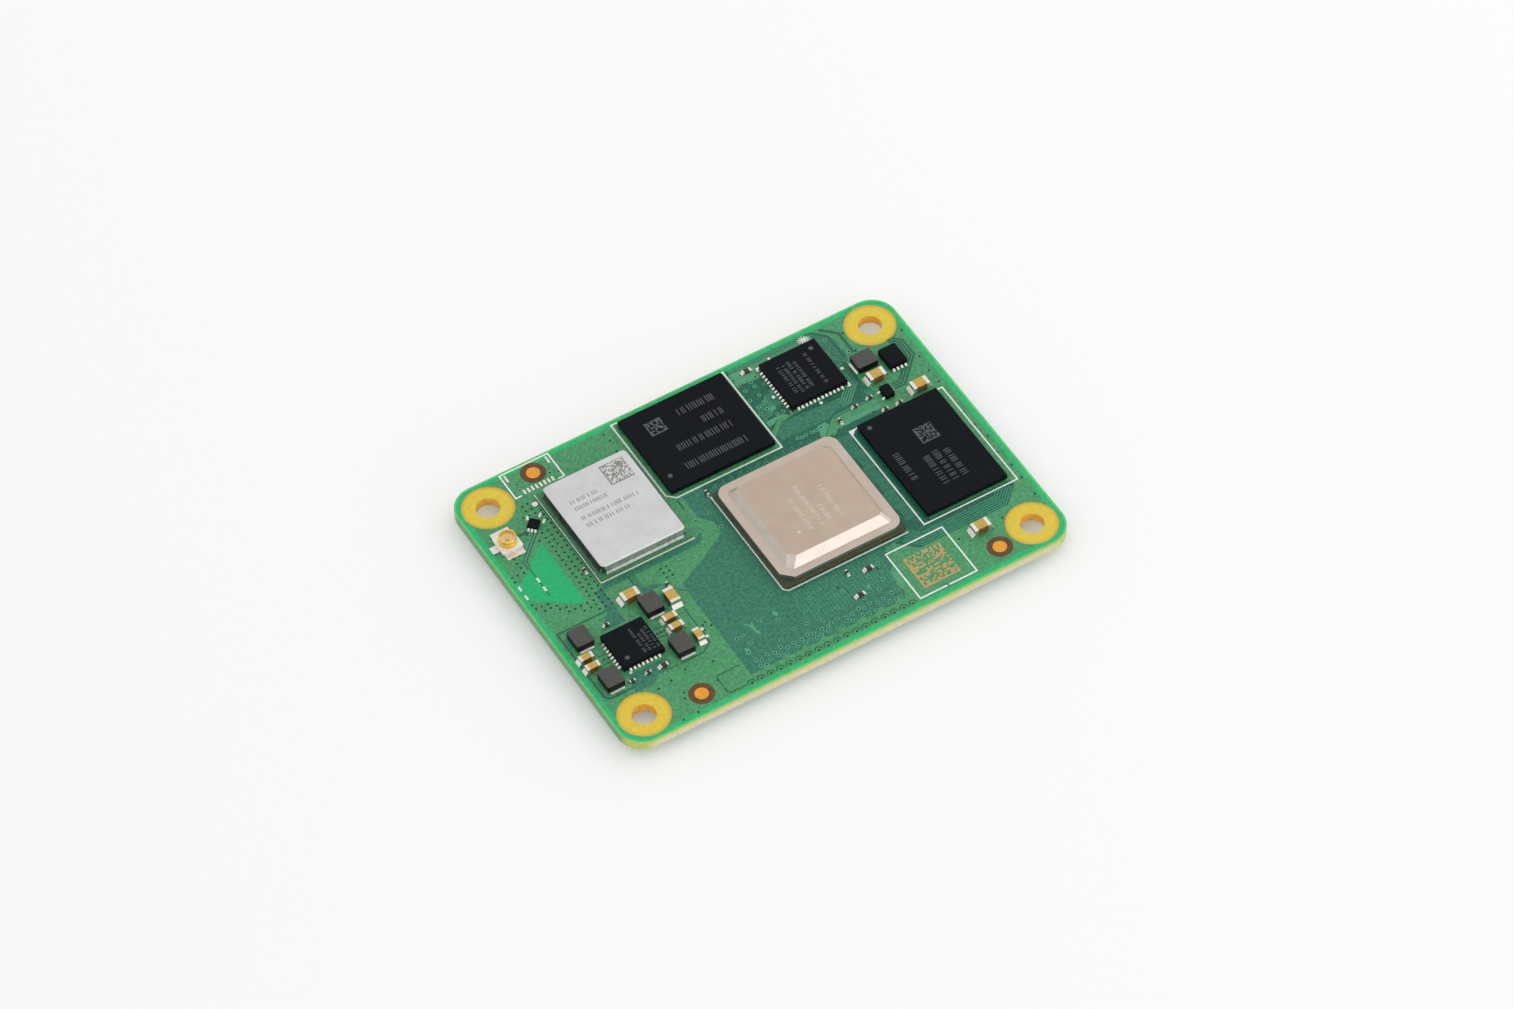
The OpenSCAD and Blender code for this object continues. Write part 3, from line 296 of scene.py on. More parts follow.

# %% [markdown]
# ## The board
# The board is glass cloth in epoxy with green solder mask over copper. Four things change what the eye
# gets: over the copper pour the mask is pale, along the rim there is no copper and light comes through
# the cloth, so it glows, in the rings round the screw holes the bare yellow cloth shows, and the sawn
# edge shows it too. All four follow from the place on the board, so one node tree can tell them apart:
# the distance to the outline gives the rim, the distance to a hole gives its ring, and the slope gives
# the edge. The two short ends are greener than the long edges and painted darker, which is painted shade,
# and at the milled corners the two meet in yellow green. The screw holes' walls are their own orange tan,
# lifted to a bright orange as painted light. The weave is drawn at its real spacing.

# %% Solder mask over copper and glass cloth
board_low, board_high = (Vector(corner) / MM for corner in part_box("board"))
TOP_Z = board_high.z
CORNER_R = 3.0
RIM_W = 0.75
RIM_FADE = 0.25
LIP_W = 0.22
LIP_FADE = 0.12
HOLE_INSET = 3.5
RING_R = 2.85
RING_FADE = 0.1
RING_EDGE = 0.22
RING_EDGE_FADE = 0.4
OPENING_DEEPEST = 0.2
OPENING_LEAST = 0.015
EDGE_TINT = 0.35
EDGE_FADE = 0.5
WEAVE_MM = 0.45
MASK_GRAIN = 0.34


def solder_mask(name, stops, rough=(0.3, 0.42)):
    """Green epoxy film: a mottled colour and the faint relief of the cloth and copper below it."""
    finish, tree, shader, place = new_finish(name, IOR=1.5, Specular_IOR_Level=0.3)
    tree.links.new(mottle(tree, place, MASK_GRAIN, stops, FINE_DETAIL), shader.inputs["Base Color"])
    roughen(tree, shader, place, WEAVE_MM, rough, 0.003)
    return finish, tree, shader, place


def board_finish():
    """The board's own finish, told apart by place and slope."""
    finish, tree, shader, place = solder_mask("solder mask on glass cloth", ("#3b8655", "#539e6d"))
    pour = shader.inputs["Base Color"].links[0].from_socket
    half = (board_high - board_low) / 2
    quarter = add(tree, "VectorMath", {0: place}, operation="ABSOLUTE").outputs[0]
    flat = add(tree, "VectorMath", {0: quarter, 1: (1, 1, 0)}, operation="MULTIPLY").outputs[0]
    inner = (half.x - CORNER_R, half.y - CORNER_R, 0)
    past = add(tree, "VectorMath", {0: flat, 1: inner}, operation="SUBTRACT").outputs[0]
    outside = add(tree, "VectorMath", {0: past, 1: (0, 0, 0)}, operation="MAXIMUM").outputs[0]
    reach = add(tree, "VectorMath", {0: outside}, operation="LENGTH").outputs["Value"]
    rim = step(tree, reach, CORNER_R - RIM_W, RIM_FADE)
    lip = step(tree, reach, CORNER_R - LIP_W, LIP_FADE)
    hole = (half.x - HOLE_INSET, half.y - HOLE_INSET, 0)
    from_hole = add(tree, "VectorMath", {0: flat, 1: hole}, operation="DISTANCE").outputs["Value"]
    ring = calc(tree, "SUBTRACT", 1.0, step(tree, from_hole, RING_R + RING_FADE / 2, RING_FADE))
    ring_edge = step(tree, from_hole, RING_R - RING_EDGE, RING_EDGE_FADE)
    height = add(tree, "SeparateXYZ", {0: place}).outputs["Z"]
    above_deepest = step(tree, height, TOP_Z - OPENING_DEEPEST)
    above_least = step(tree, height, TOP_Z - OPENING_LEAST, 0.01)
    sunk = calc(tree, "SUBTRACT", above_deepest, above_least)
    normal = add(tree, "NewGeometry").outputs["Normal"]
    facing = add(tree, "SeparateXYZ", {0: normal}).outputs
    side = calc(tree, "SUBTRACT", 1.0, step(tree, calc(tree, "ABSOLUTE", facing["Z"]), 0.5))
    endwise, longwise = (calc(tree, "ABSOLUTE", facing[axis]) for axis in "XY")
    end = step(tree, endwise, 0.75, 0.3)
    corner = step(tree, calc(tree, "MULTIPLY", endwise, longwise), 0.24, 0.3)
    cloth = mix(tree, ring_edge, mottle(tree, place, WEAVE_MM, ("#d8bd38", "#dfc744")), "#d5ab3a")
    raw_edge = mottle(tree, place, 0.3, ("#cfc6a0", "#dcd4b6"))
    sawn = mix(tree, step(tree, height, TOP_Z - EDGE_TINT, EDGE_FADE), raw_edge, "#b4c257")
    # The short ends are greener, and their darker colour is painted shade.
    sawn = mix(tree, end, sawn, mottle(tree, place, 0.3, ("#578c57", "#70996a")))
    sawn = mix(tree, corner, sawn, mottle(tree, place, 0.4, ("#a9bd52", "#c0c764")))
    colour = mix(tree, rim, pour, mottle(tree, place, 0.6, ("#17ad66", "#2bb874")))
    colour = mix(tree, lip, colour, mottle(tree, place, 0.4, ("#55bd6f", "#70c873")))
    colour = mix(tree, sunk, colour, mottle(tree, place, 0.3, ("#553b20", "#674a2b")))
    colour = mix(tree, ring, colour, cloth)
    # The screw holes' walls are painted a bright orange: their own tan, lifted as painted light.
    edge = mix(tree, ring, sawn, mottle(tree, place, WEAVE_MM, ("#efb040", "#f7c65a")))
    tree.links.new(mix(tree, side, colour, edge), shader.inputs["Base Color"])
    return finish


board_green = board_finish()
print("board top at", round(TOP_Z, 3), "mm")

# %% [markdown]
# ## Giving the CAD nodes their finishes
# The solids are right as they are, so each node keeps its mesh and only its material slot changes. The
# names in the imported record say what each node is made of, so one table from the record's slots to the
# finishes covers every node.

# %% Finishes of the CAD nodes
FINISHES = {
    "solder_mask": board_green, "bare_copper": coated_copper, "tin": solder, "silicon": silicon,
    "package_laminate": package_laminate, "nickel_plate": nickel_plate, "shield_metal": shield_metal,
    "moulding_compound": moulding_compound, "coil_moulding": iron_powder_painted_shade, "gold_plate": gold_plate,
    "capacitor_ceramic": capacitor_ceramic, "chip_ceramic": chip_ceramic,
    "jack_plastic": jack_plastic, "connector_plastic": connector_plastic,
}
for part in frame["record"]["subparts"]:
    piece = nodes[part["node"]]
    piece.data.materials.clear()
    piece.data.materials.append(FINISHES[part["material_slot"]])
nodes["wireless_carrier"].data.materials[0] = module_laminate

# %% [markdown]
# ## Thin films
# Copper, ink and plated holes are films a few hundredths of a millimetre thick. Each kind is one mesh of
# many small closed slabs: an outline on the board, a top a little above it and a foot sunk a little into
# it, so no film hangs in the air and none shares a plane with the board. Later films stand higher than
# earlier ones, as ink does on mask.

# %% Slabs, strips and discs
SINK = 0.01
LIFT = 0.0006


def slabs(name, groups, top, finish, foot=None):
    """One piece of closed slabs from foot to top, in millimetres, riding on the board. Each group of outlines
    stands a hair above the one before, so that crossing films never share a plane."""
    low = TOP_Z - SINK if foot is None else foot
    corners, faces = [], []
    for lift, outline in [(i * LIFT, outline) for i, group in enumerate(groups) for outline in group]:
        area = sum(a[0] * b[1] - b[0] * a[1] for a, b in zip(outline, outline[1:] + outline[:1]))
        ring = list(outline) if area > 0 else list(reversed(outline))
        n, first = len(ring), len(corners)
        corners += [(x * MM, y * MM, (top + lift) * MM) for x, y in ring]
        corners += [(x * MM, y * MM, low * MM) for x, y in ring]
        faces.append(tuple(range(first, first + n)))
        faces.append(tuple(range(first + 2 * n - 1, first + n - 1, -1)))
        faces += [(first + i, first + n + i, first + n + (i + 1) % n, first + (i + 1) % n) for i in range(n)]
    mesh = bpy.data.meshes.new(name)
    mesh.from_pydata(corners, [], faces)
    mesh.materials.append(finish)
    piece = bpy.data.objects.new(name, mesh)
    bpy.context.collection.objects.link(piece)
    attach(piece, "root")
    print(name, sum(len(group) for group in groups), "slabs")


def sideways(path, shift, closed=False):
    """The path moved to its left by shift, with its bends mitred."""
    points = [Vector(p) for p in path]
    moved = []
    for i, point in enumerate(points):
        before = points[i - 1] if i or closed else None
        after = points[(i + 1) % len(points)] if i < len(points) - 1 or closed else None
        into = (point - before).normalized() if before is not None else (after - point).normalized()
        out = (after - point).normalized() if after is not None else into
        along = (into + out).normalized()
        moved.append(tuple(point + Vector((-along.y, along.x)) * (shift / max(along.dot(into), 0.4))))
    return moved


def strip(path, width, closed=False):
    """The outlines of a strip of that width along a path, one for each stretch."""
    left, right_side = sideways(path, width / 2, closed), sideways(path, -width / 2, closed)
    count = len(path) if closed else len(path) - 1
    follow = [(i, (i + 1) % len(path)) for i in range(count)]
    return [[left[i], right_side[i], right_side[j], left[j]] for i, j in follow]


def disc(x, y, r, sides=12):
    """A round outline."""
    return [(x + r * math.cos(2 * math.pi * i / sides), y + r * math.sin(2 * math.pi * i / sides))
            for i in range(sides)]


def bundle(path, count, pitch, width):
    """Parallel strips, the first along the path and the rest to its left."""
    return [quad for i in range(count) for quad in strip(sideways(path, i * pitch), width)]


print("film helpers ready")

# %% [markdown]
# ## Copper under the mask
# Where the outer layer is one sheet of copper the mask is pale. Where it is split into fine signal tracks
# the mask lies mostly on dark cloth, so the board is darker and bluer there, and the tracks show as fine
# lines that bend at 45 degrees. The areas are drawn as films of that darker mask, and the tracks as
# narrower films on them.

# %% Areas of tracks
bare_mask = solder_mask("mask over bare cloth", ("#226b55", "#3d8167"))[0]
dense_mask = solder_mask("mask among dense tracks", ("#0c5944", "#206d55"))[0]
track_mask = solder_mask("mask over a track", ("#4a966f", "#56a17a"))[0]
fine_mask = solder_mask("mask over a fine track", ("#3a876a", "#459473"))[0]
rim_mask = solder_mask("mask over a hole's rim", ("#59a680", "#64b08a"))[0]
gap_mask = solder_mask("mask in a gap", ("#1f5f48", "#2a6a52"))[0]
hole_mask = solder_mask("mask in a plated hole", ("#0a3023", "#123c2e"))[0]
antenna_mask = solder_mask("mask over clear cloth", ("#13aa68", "#1fb473"))[0]

AREA_TOP = TOP_Z + 0.003
DENSE_TOP = TOP_Z + 0.0065
INNER_TOP = TOP_Z + 0.011
WAVE_PITCH = 2.35
WAVE_H = 0.42
wave_xs = [-11.8 + 0.25 * i for i in range(77)]
wave = [(x, -18.0 + WAVE_H * max(0.0, math.cos(2 * math.pi * (x + 5.2) / WAVE_PITCH)) ** 2) for x in wave_xs]
front_area = wave + [(7.7, -16.9), (7.4, -16.2), (7.6, -14.2), (8.6, -13.3), (8.9, -11.0), (12.3, -10.6),
                     (12.5, 5.1), (-3.2, 5.1), (-3.2, 6.7), (-5.7, 6.7), (-5.7, 3.3), (-4.6, 2.0),
                     (-4.6, 0.2), (-8.2, -1.9), (-11.8, -3.7)]
memory_front_area = [(12.4, -6), (14.7, -6), (14.7, -10.2), (25.3, -10.2), (25.3, -10.9), (23.2, -12.95),
                     (12.1, -12.95), (10.2, -11.0), (12.4, -10.5)]
memory_side_area = [(12.4, -10.5), (15.1, -10.5), (15.1, 5.0), (18.9, 5.0), (18.9, 5.75), (13.5, 5.75),
                    (12.4, 5.1)]
ethernet_front_area = [(-3.2, 5.1), (11.3, 5.1), (13.4, 7.2), (18.9, 7.3), (19.6, 8.2), (19.0, 9.6),
                       (18.9, 13.7), (17.6, 13.7), (17.6, 10.4), (10.4, 10.1), (8.7, 9.85), (7.1, 8.3),
                       (7.1, 6.7), (-3.2, 6.7)]
ethernet_side_area = [(7.1, 9.2), (8.4, 10.2), (10.6, 10.4), (10.6, 16.4), (7.1, 16.8)]
ethernet_right_area = [(17.6, 13.5), (19.3, 13.5), (19.7, 14.4), (19.7, 16.9), (18.9, 18.2), (17.9, 19.0),
                       (17.6, 18.4)]
ethernet_back_area = [(7.1, 18.6), (17.2, 18.5), (17.5, 19.2), (7.1, 19.2)]
power_area = [(-19.3, -0.4), (-19.3, -4.7), (-22.4, -4.7), (-20.3, -2.6), (-20.3, 0.2), (-18.6, 1.0),
              (-19.0, 0.2)]
power_front_area = [(-23.2, -13.6), (-23.2, -12.9), (-22.8, -11.2), (-18.3, -11.2), (-18.1, -12.0),
                    (-19.1, -12.7), (-20.3, -12.9), (-20.9, -13.6)]
coil_area = [(-15.9, 0.1), (-15.9, -2.6), (-13.6, -2.6), (-14.1, -2.1), (-15.4, -1.9), (-15.5, 0.1)]
carrier_front_area = [(-19.0, 1.0), (-7.2, 1.0), (-6.5, 1.5), (-6.8, 0.5), (-7.4, 0.1), (-19.3, 0.1)]
smooth_band = [(7.3, 7.6), (13.2, 7.6), (15.2, 8.3), (15.6, 9.4), (10.4, 9.8), (8.7, 9.7), (7.3, 8.4)]
back_patch = [(7.2, 16.9), (8.6, 16.3), (10.3, 16.6), (10.3, 14.9), (9.2, 14.2), (8.0, 15.2), (7.2, 15.4)]
front_patch = [(7.2, 13.6), (8.4, 13.9), (9.8, 13.0), (9.9, 12.6), (8.9, 12.6), (8.2, 13.1), (7.2, 12.9)]
open_areas = (front_area, power_area, power_front_area, coil_area, carrier_front_area, ethernet_right_area)
dense_areas = (memory_front_area, memory_side_area, ethernet_front_area, ethernet_side_area,
               ethernet_back_area, back_patch, front_patch)
slabs("mask_over_tracks", [[area] for area in open_areas], AREA_TOP, bare_mask)
slabs("mask_over_dense_tracks", [[area] for area in dense_areas], DENSE_TOP, dense_mask)
slabs("mask_over_inner_copper", [[smooth_band]], INNER_TOP, bare_mask)

# %% Islands of copper inside those areas
ISLAND_TOP = TOP_Z + 0.012
islands = [
    [(11.2, 5.5), (11.6, 5.5), (12.9, 6.8), (12.6, 7.4), (11.6, 7.2)],
    [(13.9, 5.85), (19.2, 5.85), (18.7, 6.4), (14.3, 6.4)],
    [(7.25, 16.9), (9.7, 16.7), (9.9, 17.4), (8.6, 18.5), (7.25, 18.6)],
    [(8.5, 11.7), (9.2, 11.8), (9.4, 12.2), (8.9, 12.4), (8.6, 12.1)],
    [(7.25, 9.9), (8.4, 10.3), (9.9, 10.3), (9.4, 10.8), (7.25, 10.8)],
    [(7.6, -16.2), (8.4, -16.2), (8.4, -14.2), (7.8, -14.2)],
    [(-9.1, -11.6), (-8.5, -12.2), (-8.1, -11.9), (-8.3, -12.8), (-8.0, -13.9), (-8.5, -13.7), (-8.6, -12.6)],
    [(-10.7, -14.6), (-10.2, -14.9), (-10.5, -15.7), (-10.8, -15.3)],
    [(4.6, -14.2), (5.0, -14.2), (4.9, -15.0), (4.5, -14.8)],
    [(-5.6, -11.9), (-5.2, -12.3), (-5.4, -12.8), (-5.8, -12.4)],
]
slabs("mask_over_islands", [islands], ISLAND_TOP, track_mask)

# %% [markdown]
# ## Tracks
# The tracks between the processor and the memory are matched in length, so they wander from side to side.
# The others run in bundles. A bundle is one path and its copies moved sideways, so its bends stay
# concentric, which is how a router draws them.

# %% Tracks
TRACK_TOP = TOP_Z + 0.013
TRACK_W = 0.12
FINE_W = TRACK_W * 0.8
TRACK_PITCH = 0.3
BUNDLE_PITCH = 0.27
WANDER_PITCH = 0.26
FRONT_PITCH = 0.41
FAN_PITCH = 0.36


def wander(x, y0, y1, swing, period):
    """A track that runs along Y and jogs sideways at 45 degrees."""
    path, y, side_now = [(x, y0)], y0, 1
    while y + period < y1:
        path += [(x + side_now * swing, y + swing), (x + side_now * swing, y + period - swing)]
        side_now = -side_now
        y += period
    return path + [(x, y1)]


memory_front_path = [(11.1, -11.2), (12.6, -12.75), (23.1, -12.75), (24.9, -10.95)]
memory_front_tracks = bundle(memory_front_path, 6, TRACK_PITCH, TRACK_W)
memory_side_tracks = []
for i in range(6):
    memory_side_tracks += strip(wander(12.75 + WANDER_PITCH * i, -9.0, 4.6, 0.28, 2.1), FINE_W)
front_tracks = []
for i in range(26):
    x, jog, down = -2.6 + FRONT_PITCH * i, 0.4 * (i % 3 - 1), 0.3 * (i % 4)
    path = [(x, -10.95), (x, -12.2 - down), (x + jog, -12.7 - down), (x + jog, -15.6)]
    front_tracks += strip(path, FINE_W)
fan_out = []
for i in range(38):
    x = -2.6 + FAN_PITCH * i
    fan_out += strip([(x, 5.2), (x, 5.9 + 0.25 * (i % 3))], TRACK_W * 0.6)
ethernet_path = [(15.4, 8.2), (16.4, 8.2), (18.4, 10.2), (18.4, 13.6)]
ethernet_tracks = bundle(ethernet_path, 5, BUNDLE_PITCH, TRACK_W)
corner_path = [(12.8, 5.3), (14.2, 6.7), (18.5, 6.7), (19.4, 7.6), (19.4, 8.9)]
corner_tracks = bundle(corner_path, 4, BUNDLE_PITCH, TRACK_W * 0.9)
back_tracks = bundle([(7.4, 19.05), (16.8, 19.05)], 3, -0.24, TRACK_W)
ethernet_side_tracks = []
for i in range(7):
    y = TRACK_PITCH * i
    path = [(7.3, 11.3 + y), (8.3, 11.3 + y), (9.2, 12.2 + y), (10.2, 12.2 + y)]
    ethernet_side_tracks += strip(path, FINE_W)
coarse = [fan_out, ethernet_tracks, corner_tracks, back_tracks, ethernet_side_tracks]
slabs("tracks", coarse, TRACK_TOP, track_mask)
slabs("fine_tracks", [memory_front_tracks, memory_side_tracks, front_tracks], TRACK_TOP, fine_mask)

# %% [markdown]
# ## Gaps in the copper
# The sheet of copper is cut by narrow gaps: round the power chip's islands, along the strip that feeds the
# antenna, and round the antenna itself, where the cloth is clear of copper on every layer and glows. The
# gaps are films of the darkest mask.

# %% Gaps and the antenna
ANTENNA_TOP = TOP_Z + 0.006
GAP_TOP = TOP_Z + 0.012
FEED_TOP = TOP_Z + 0.0215
GAP_W = 0.2
THIN_W = GAP_W * 0.7
LINE_W = 0.17
FEED_W = 0.16
antenna = [(-26.6, 3.0), (-22.1, -0.2), (-21.6, -0.2), (-21.6, 9.2), (-24.3, 7.2), (-24.3, 6.9), (-26.6, 5.3)]
slabs("clear_cloth", [[antenna]], ANTENNA_TOP, antenna_mask)
feed = [(-21.3, 10.9), (-24.35, 7.95), (-24.4, 2.5)]
feed_strip = feed[:2] + [(-24.4, 6.9)]
ARC_R = 0.44
ARC_W = 0.13
ARC_PITCH = 1.17
ARC_Y = -18.98
arc_xs = [-12.3 + ARC_PITCH * i for i in range(18)]
half_turn = [math.radians(a) for a in range(0, 181, 30)]
arcs = []
for x in arc_xs:
    arcs += strip([(x + ARC_R * math.cos(a), ARC_Y + ARC_R * math.sin(a)) for a in half_turn], ARC_W)
gaps = [
    strip([(-20.3, -2.45), (-26.4, -2.45), (-26.4, -12.3), (-25.9, -12.85), (-23.0, -12.85)], GAP_W),
    strip([(-17.2, -12.75), (-14.5, -12.75), (-13.25, -11.9), (-13.25, -5.4)], THIN_W),
    strip([(-13.2, -3.1), (-11.8, -4.7)], THIN_W),
    strip([(-15.1, -16.4), (-15.1, -18.6), (-14.8, -18.9), (-12.9, -18.9)], THIN_W),
    strip([(-15.1, -16.4), (-14.8, -16.2), (-12.2, -16.2)], THIN_W),
    bundle([(-24.2, -7.4), (-23.0, -7.4)], 2, -1.2, THIN_W),
    bundle([(-17.6, -7.4), (-16.4, -7.4)], 2, -1.2, THIN_W),
    strip([(-19.1, -12.75), (-17.6, -12.75)], THIN_W),
    strip(feed_strip, GAP_W * 2.2),
    strip([(-24.4, 6.9), (-24.4, 2.5)], GAP_W * 0.6),
    strip([(-23.3, 11.4), (-22.0, 11.3)], GAP_W * 1.8),
    strip([(-19.05, 2.0), (-19.05, 15.2)], GAP_W),
    strip([(-6.35, 6.6), (-6.35, 5.0)], GAP_W),
    strip([(-16.1, 0.4), (-16.1, -1.2)], GAP_W),
    strip([(-6.6, 19.1), (-6.6, 17.6)], THIN_W),
    arcs,
    bundle([(21.6, 7.3), (22.8, 7.3), (25.9, 10.4), (25.9, 12.8), (25.1, 13.6), (24.4, 13.6)],
           3, 0.36, LINE_W * 1.3),
    strip([(17.3, 18.95), (18.0, 18.95), (19.3, 17.6), (19.3, 14.2)], LINE_W * 1.5),
    strip([(18.9, 18.95), (20.5, 17.3), (20.5, 14.2)], LINE_W * 2),
    bundle([(18.95, 13.4), (18.95, 10.1), (17.3, 8.45)], 3, -0.3, LINE_W * 0.8),
    strip([(13.4, 5.45), (19.0, 5.45)], LINE_W * 2),
]
slabs("gaps_in_copper", gaps, GAP_TOP, gap_mask)
slabs("antenna_feed", [strip(feed_strip, FEED_W)], FEED_TOP, track_mask)

# %% [markdown]
# ## Plated holes
# Signals change layers through plated holes of about 0.3 mm. Under the mask each is a dark dot, and among
# the tracks it has a pale rim of copper. They stand in rows along the edges and round the antenna, where
# they fence it in, and are scattered elsewhere.

# %% Plated holes
VIA_R = 0.13
RIM_R = 0.23
VIA_ROOM = 0.3
RIM_TOP = TOP_Z + 0.0185
HOLE_TOP = TOP_Z + 0.0222
FIDUCIALS = ((-17.5, 18.15), (-17.5, -17.35), (19.4, -17.35))
FIDUCIAL_ROOM = 1.6
LOW_PARTS = ("_leads", "_ends", "_balls", "_pads", "_dots", "_feet", "_terminals", "_resistors",
             "_contacts", "_housing", "_capacitors", "board")
draw = random.Random(7)
standing = [[Vector(corner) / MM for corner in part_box(name)]
            for name in nodes if not name.endswith(LOW_PARTS)]


def is_free(x, y):
    """True where a hole at x, y stays clear of the parts, of the fiducials and of the screw holes' rings."""
    if any(math.dist((x, y), place) < FIDUCIAL_ROOM for place in FIDUCIALS):
        return False
    under = any(low.x - VIA_ROOM < x < high.x + VIA_ROOM and low.y - VIA_ROOM < y < high.y + VIA_ROOM
                for low, high in standing)
    across, along = abs(x) - board_high.x + HOLE_INSET, abs(y) - board_high.y + HOLE_INSET
    return not under and math.hypot(across, along) >= RING_R + VIA_ROOM


def rows(x0, x1, y0, y1, pitch, jitter=0.0):
    """Places on a grid of that pitch, each moved by up to jitter."""
    return [(x0 + i * pitch + draw.uniform(-jitter, jitter), y0 + j * pitch + draw.uniform(-jitter, jitter))
            for j in range(int((y1 - y0) / pitch) + 1) for i in range(int((x1 - x0) / pitch) + 1)]


def inside(x, y, outline):
    """True where x, y is inside the outline."""
    hits = 0
    for (ax, ay), (bx, by) in zip(outline, outline[1:] + outline[:1]):
        if (ay > y) != (by > y) and x < ax + (y - ay) * (bx - ax) / (by - ay):
            hits += 1
    return hits % 2 == 1


def near(x, y, path, room):
    """True where x, y is within room of the path."""
    for a, b in zip(path, path[1:]):
        start, run = Vector(a), Vector(b) - Vector(a)
        share = min(1.0, max(0.0, (Vector((x, y)) - start).dot(run) / run.length_squared))
        if (Vector((x, y)) - start - run * share).length < room:
            return True
    return False


antenna_line = antenna + antenna[:1]


def fences(x, y):
    """True where a hole fences the antenna or its feed, clear of both and of the jack."""
    clear = not (inside(x, y, antenna) or near(x, y, feed, 0.45) or near(x, y, antenna_line, 0.25))
    close = near(x, y, antenna_line, 1.3) or near(x, y, feed, 1.3) or x > -21.6
    at_jack = x < -22.6 and 9.0 < y < 13.2
    return clear and close and not at_jack


PLAIN_FIELDS = (
    (-12.65, -11.95, -2.0, -0.6, 0.68), (-23.9, -23.2, -8.0, -7.9, 0.6), (-17.4, -16.5, -8.0, -7.9, 0.42),
    (26.2, 26.8, -13.0, 12.0, 2.3, 0.3), (16.4, 25.0, -14.6, -13.2, 2.6, 0.5),
    (-21.5, -13.0, -16.2, -13.6, 2.2, 0.6), (-21.0, -19.0, -19.2, -17.0, 1.9, 0.4),
    (-8.4, -7.3, 16.0, 18.8, 1.4, 0.2), (13.6, 26.0, 5.9, 6.9, 2.2, 0.3),
    (20.9, 26.5, 14.4, 19.2, 2.6, 0.5), (-12.9, -12.1, -10.2, -9.1, 0.75, 0.18),
)
RIMMED_FIELDS = (
    (-10.6, 7.0, -17.5, -15.9, 0.8, 0.22), (-11.2, 8.0, -15.0, -11.2, 2.0, 0.8),
    (7.5, 10.2, 11.0, 18.0, 1.15, 0.3), (8.9, 12.3, 6.9, 7.5, 0.6, 0.1), (-6.4, -4.2, 1.2, 4.6, 2.0, 0.4),
    (-20.6, -19.2, 16.9, 18.2, 0.8, 0.2), (-15.9, -14.4, 17.0, 18.2, 0.8, 0.2),
    (18.3, 20.6, 14.2, 18.6, 1.5, 0.4),
)
plain = [p for p in rows(-26.6, -19.4, -1.9, 15.0, 0.72, 0.06) if fences(*p)]
plain += [p for field in PLAIN_FIELDS for p in rows(*field)] + [(x, ARC_Y) for x in arc_xs]
rimmed = [p for field in RIMMED_FIELDS for p in rows(*field)]
plain, rimmed = ([p for p in places if is_free(*p)] for places in (plain, rimmed))
apart = [p for i, p in enumerate(rimmed) if all(math.dist(p, q) > 2 * RIM_R for q in rimmed[:i])]
slabs("hole_rims", [[disc(x, y, RIM_R) for x, y in apart]], RIM_TOP, rim_mask)
slabs("plated_holes", [[disc(x, y, VIA_R) for x, y in plain + apart]], HOLE_TOP, hole_mask)

# %% [markdown]
# ## White ink
# The legend is epoxy ink, screen-printed after the mask: opaque, matt and a little uneven at its edges. It
# frames the chips, marks their first pins and rings the field where a label may go. Each frame is worked
# out from the box of the chip that it goes round.

# %% Legend
INK_TOP = TOP_Z + 0.024
INK_W = 0.17
SOCKET_BOX = (-20.85, 16.0, -14.85, 19.65)
LABEL_BOX = (8.55, -18.85, 15.6, -11.8)
BURST = (16.75, 18.6)
RAY_W = 0.1
FINE_SIDES = 20
legend_ink = moulded("white legend ink", ("#e3e7e1", "#f2f3ee"), 0.3, (0.55, 0.7), 0.003, 0.3)


def frame_round(name, left, right_side, front, behind):
    """Corners of a rectangle round a node, grown by those margins."""
    low, high = (Vector(corner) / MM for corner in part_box(name))
    return low.x - left, low.y - front, high.x + right_side, high.y + behind


x0, y0, x1, y1 = frame_round("flash_chip", 0.55, 0.5, 0.5, 0.5)
flash_frame = strip([(x0, y0 + 0.85), (x0 + 0.9, y0), (x1, y0), (x1, y1), (x0, y1)], INK_W, closed=True)
x0, y0, x1, y1 = frame_round("memory_chip", 0.8, 0.95, 0.5, 0.25)
memory_frame = strip([(x0, y0), (x1, y0), (x1, y1), (x0, y1)], INK_W, closed=True)
memory_corner = [[(x0, y1), (x0 + 0.75, y1), (x0, y1 - 0.75)]]
x0, y0, x1, y1 = frame_round("processor_substrate", 0.1, 0.1, 0.15, 0.2)
processor_frame = strip([(x0, y1), (x0, y0 + 0.45), (x0 + 0.45, y0), (x1, y0)], INK_W)
x0, y0, x1, y1 = frame_round("wireless_carrier", 0.1, 0.2, 0.08, 0.4)
wireless_frame = strip([(x0, y0), (x1, y0)], INK_W) + strip([(x0, y1), (x0, y0)], INK_W * 0.6)
x0, y0, x1, y1 = SOCKET_BOX
socket_frame = strip([(-20.1, y0), (x0, y0), (x0, y1), (x1, y1), (x1, y0), (-15.6, y0)], INK_W)
x0, y0, x1, y1 = LABEL_BOX
label_frame = strip([(11.9, y0), (x0, y0), (x0, y1), (x1, y1), (x1, y0), (12.15, y0)], INK_W)
DOTS = ((-19.5, 14.25, 0.33), (9.8, 13.35, 0.2), (12.2, 18.3, 0.16), (13.75, 9.9, 0.2), (18.2, 12.85, 0.2),
        (-22.4, -11.0, 0.16))
burst = []
for i in range(6):
    dx, dy = math.cos(math.pi * i / 6), 0.75 * math.sin(math.pi * i / 6)
    for near_end, far_end in ((0.06, 0.72), (-0.06, -0.72)):
        ray = [(BURST[0] + reach * dx, BURST[1] + reach * dy) for reach in (near_end, far_end)]
        burst.append(strip(ray, RAY_W))
frames = [flash_frame, memory_frame, memory_corner, processor_frame, wireless_frame, socket_frame,
          label_frame]
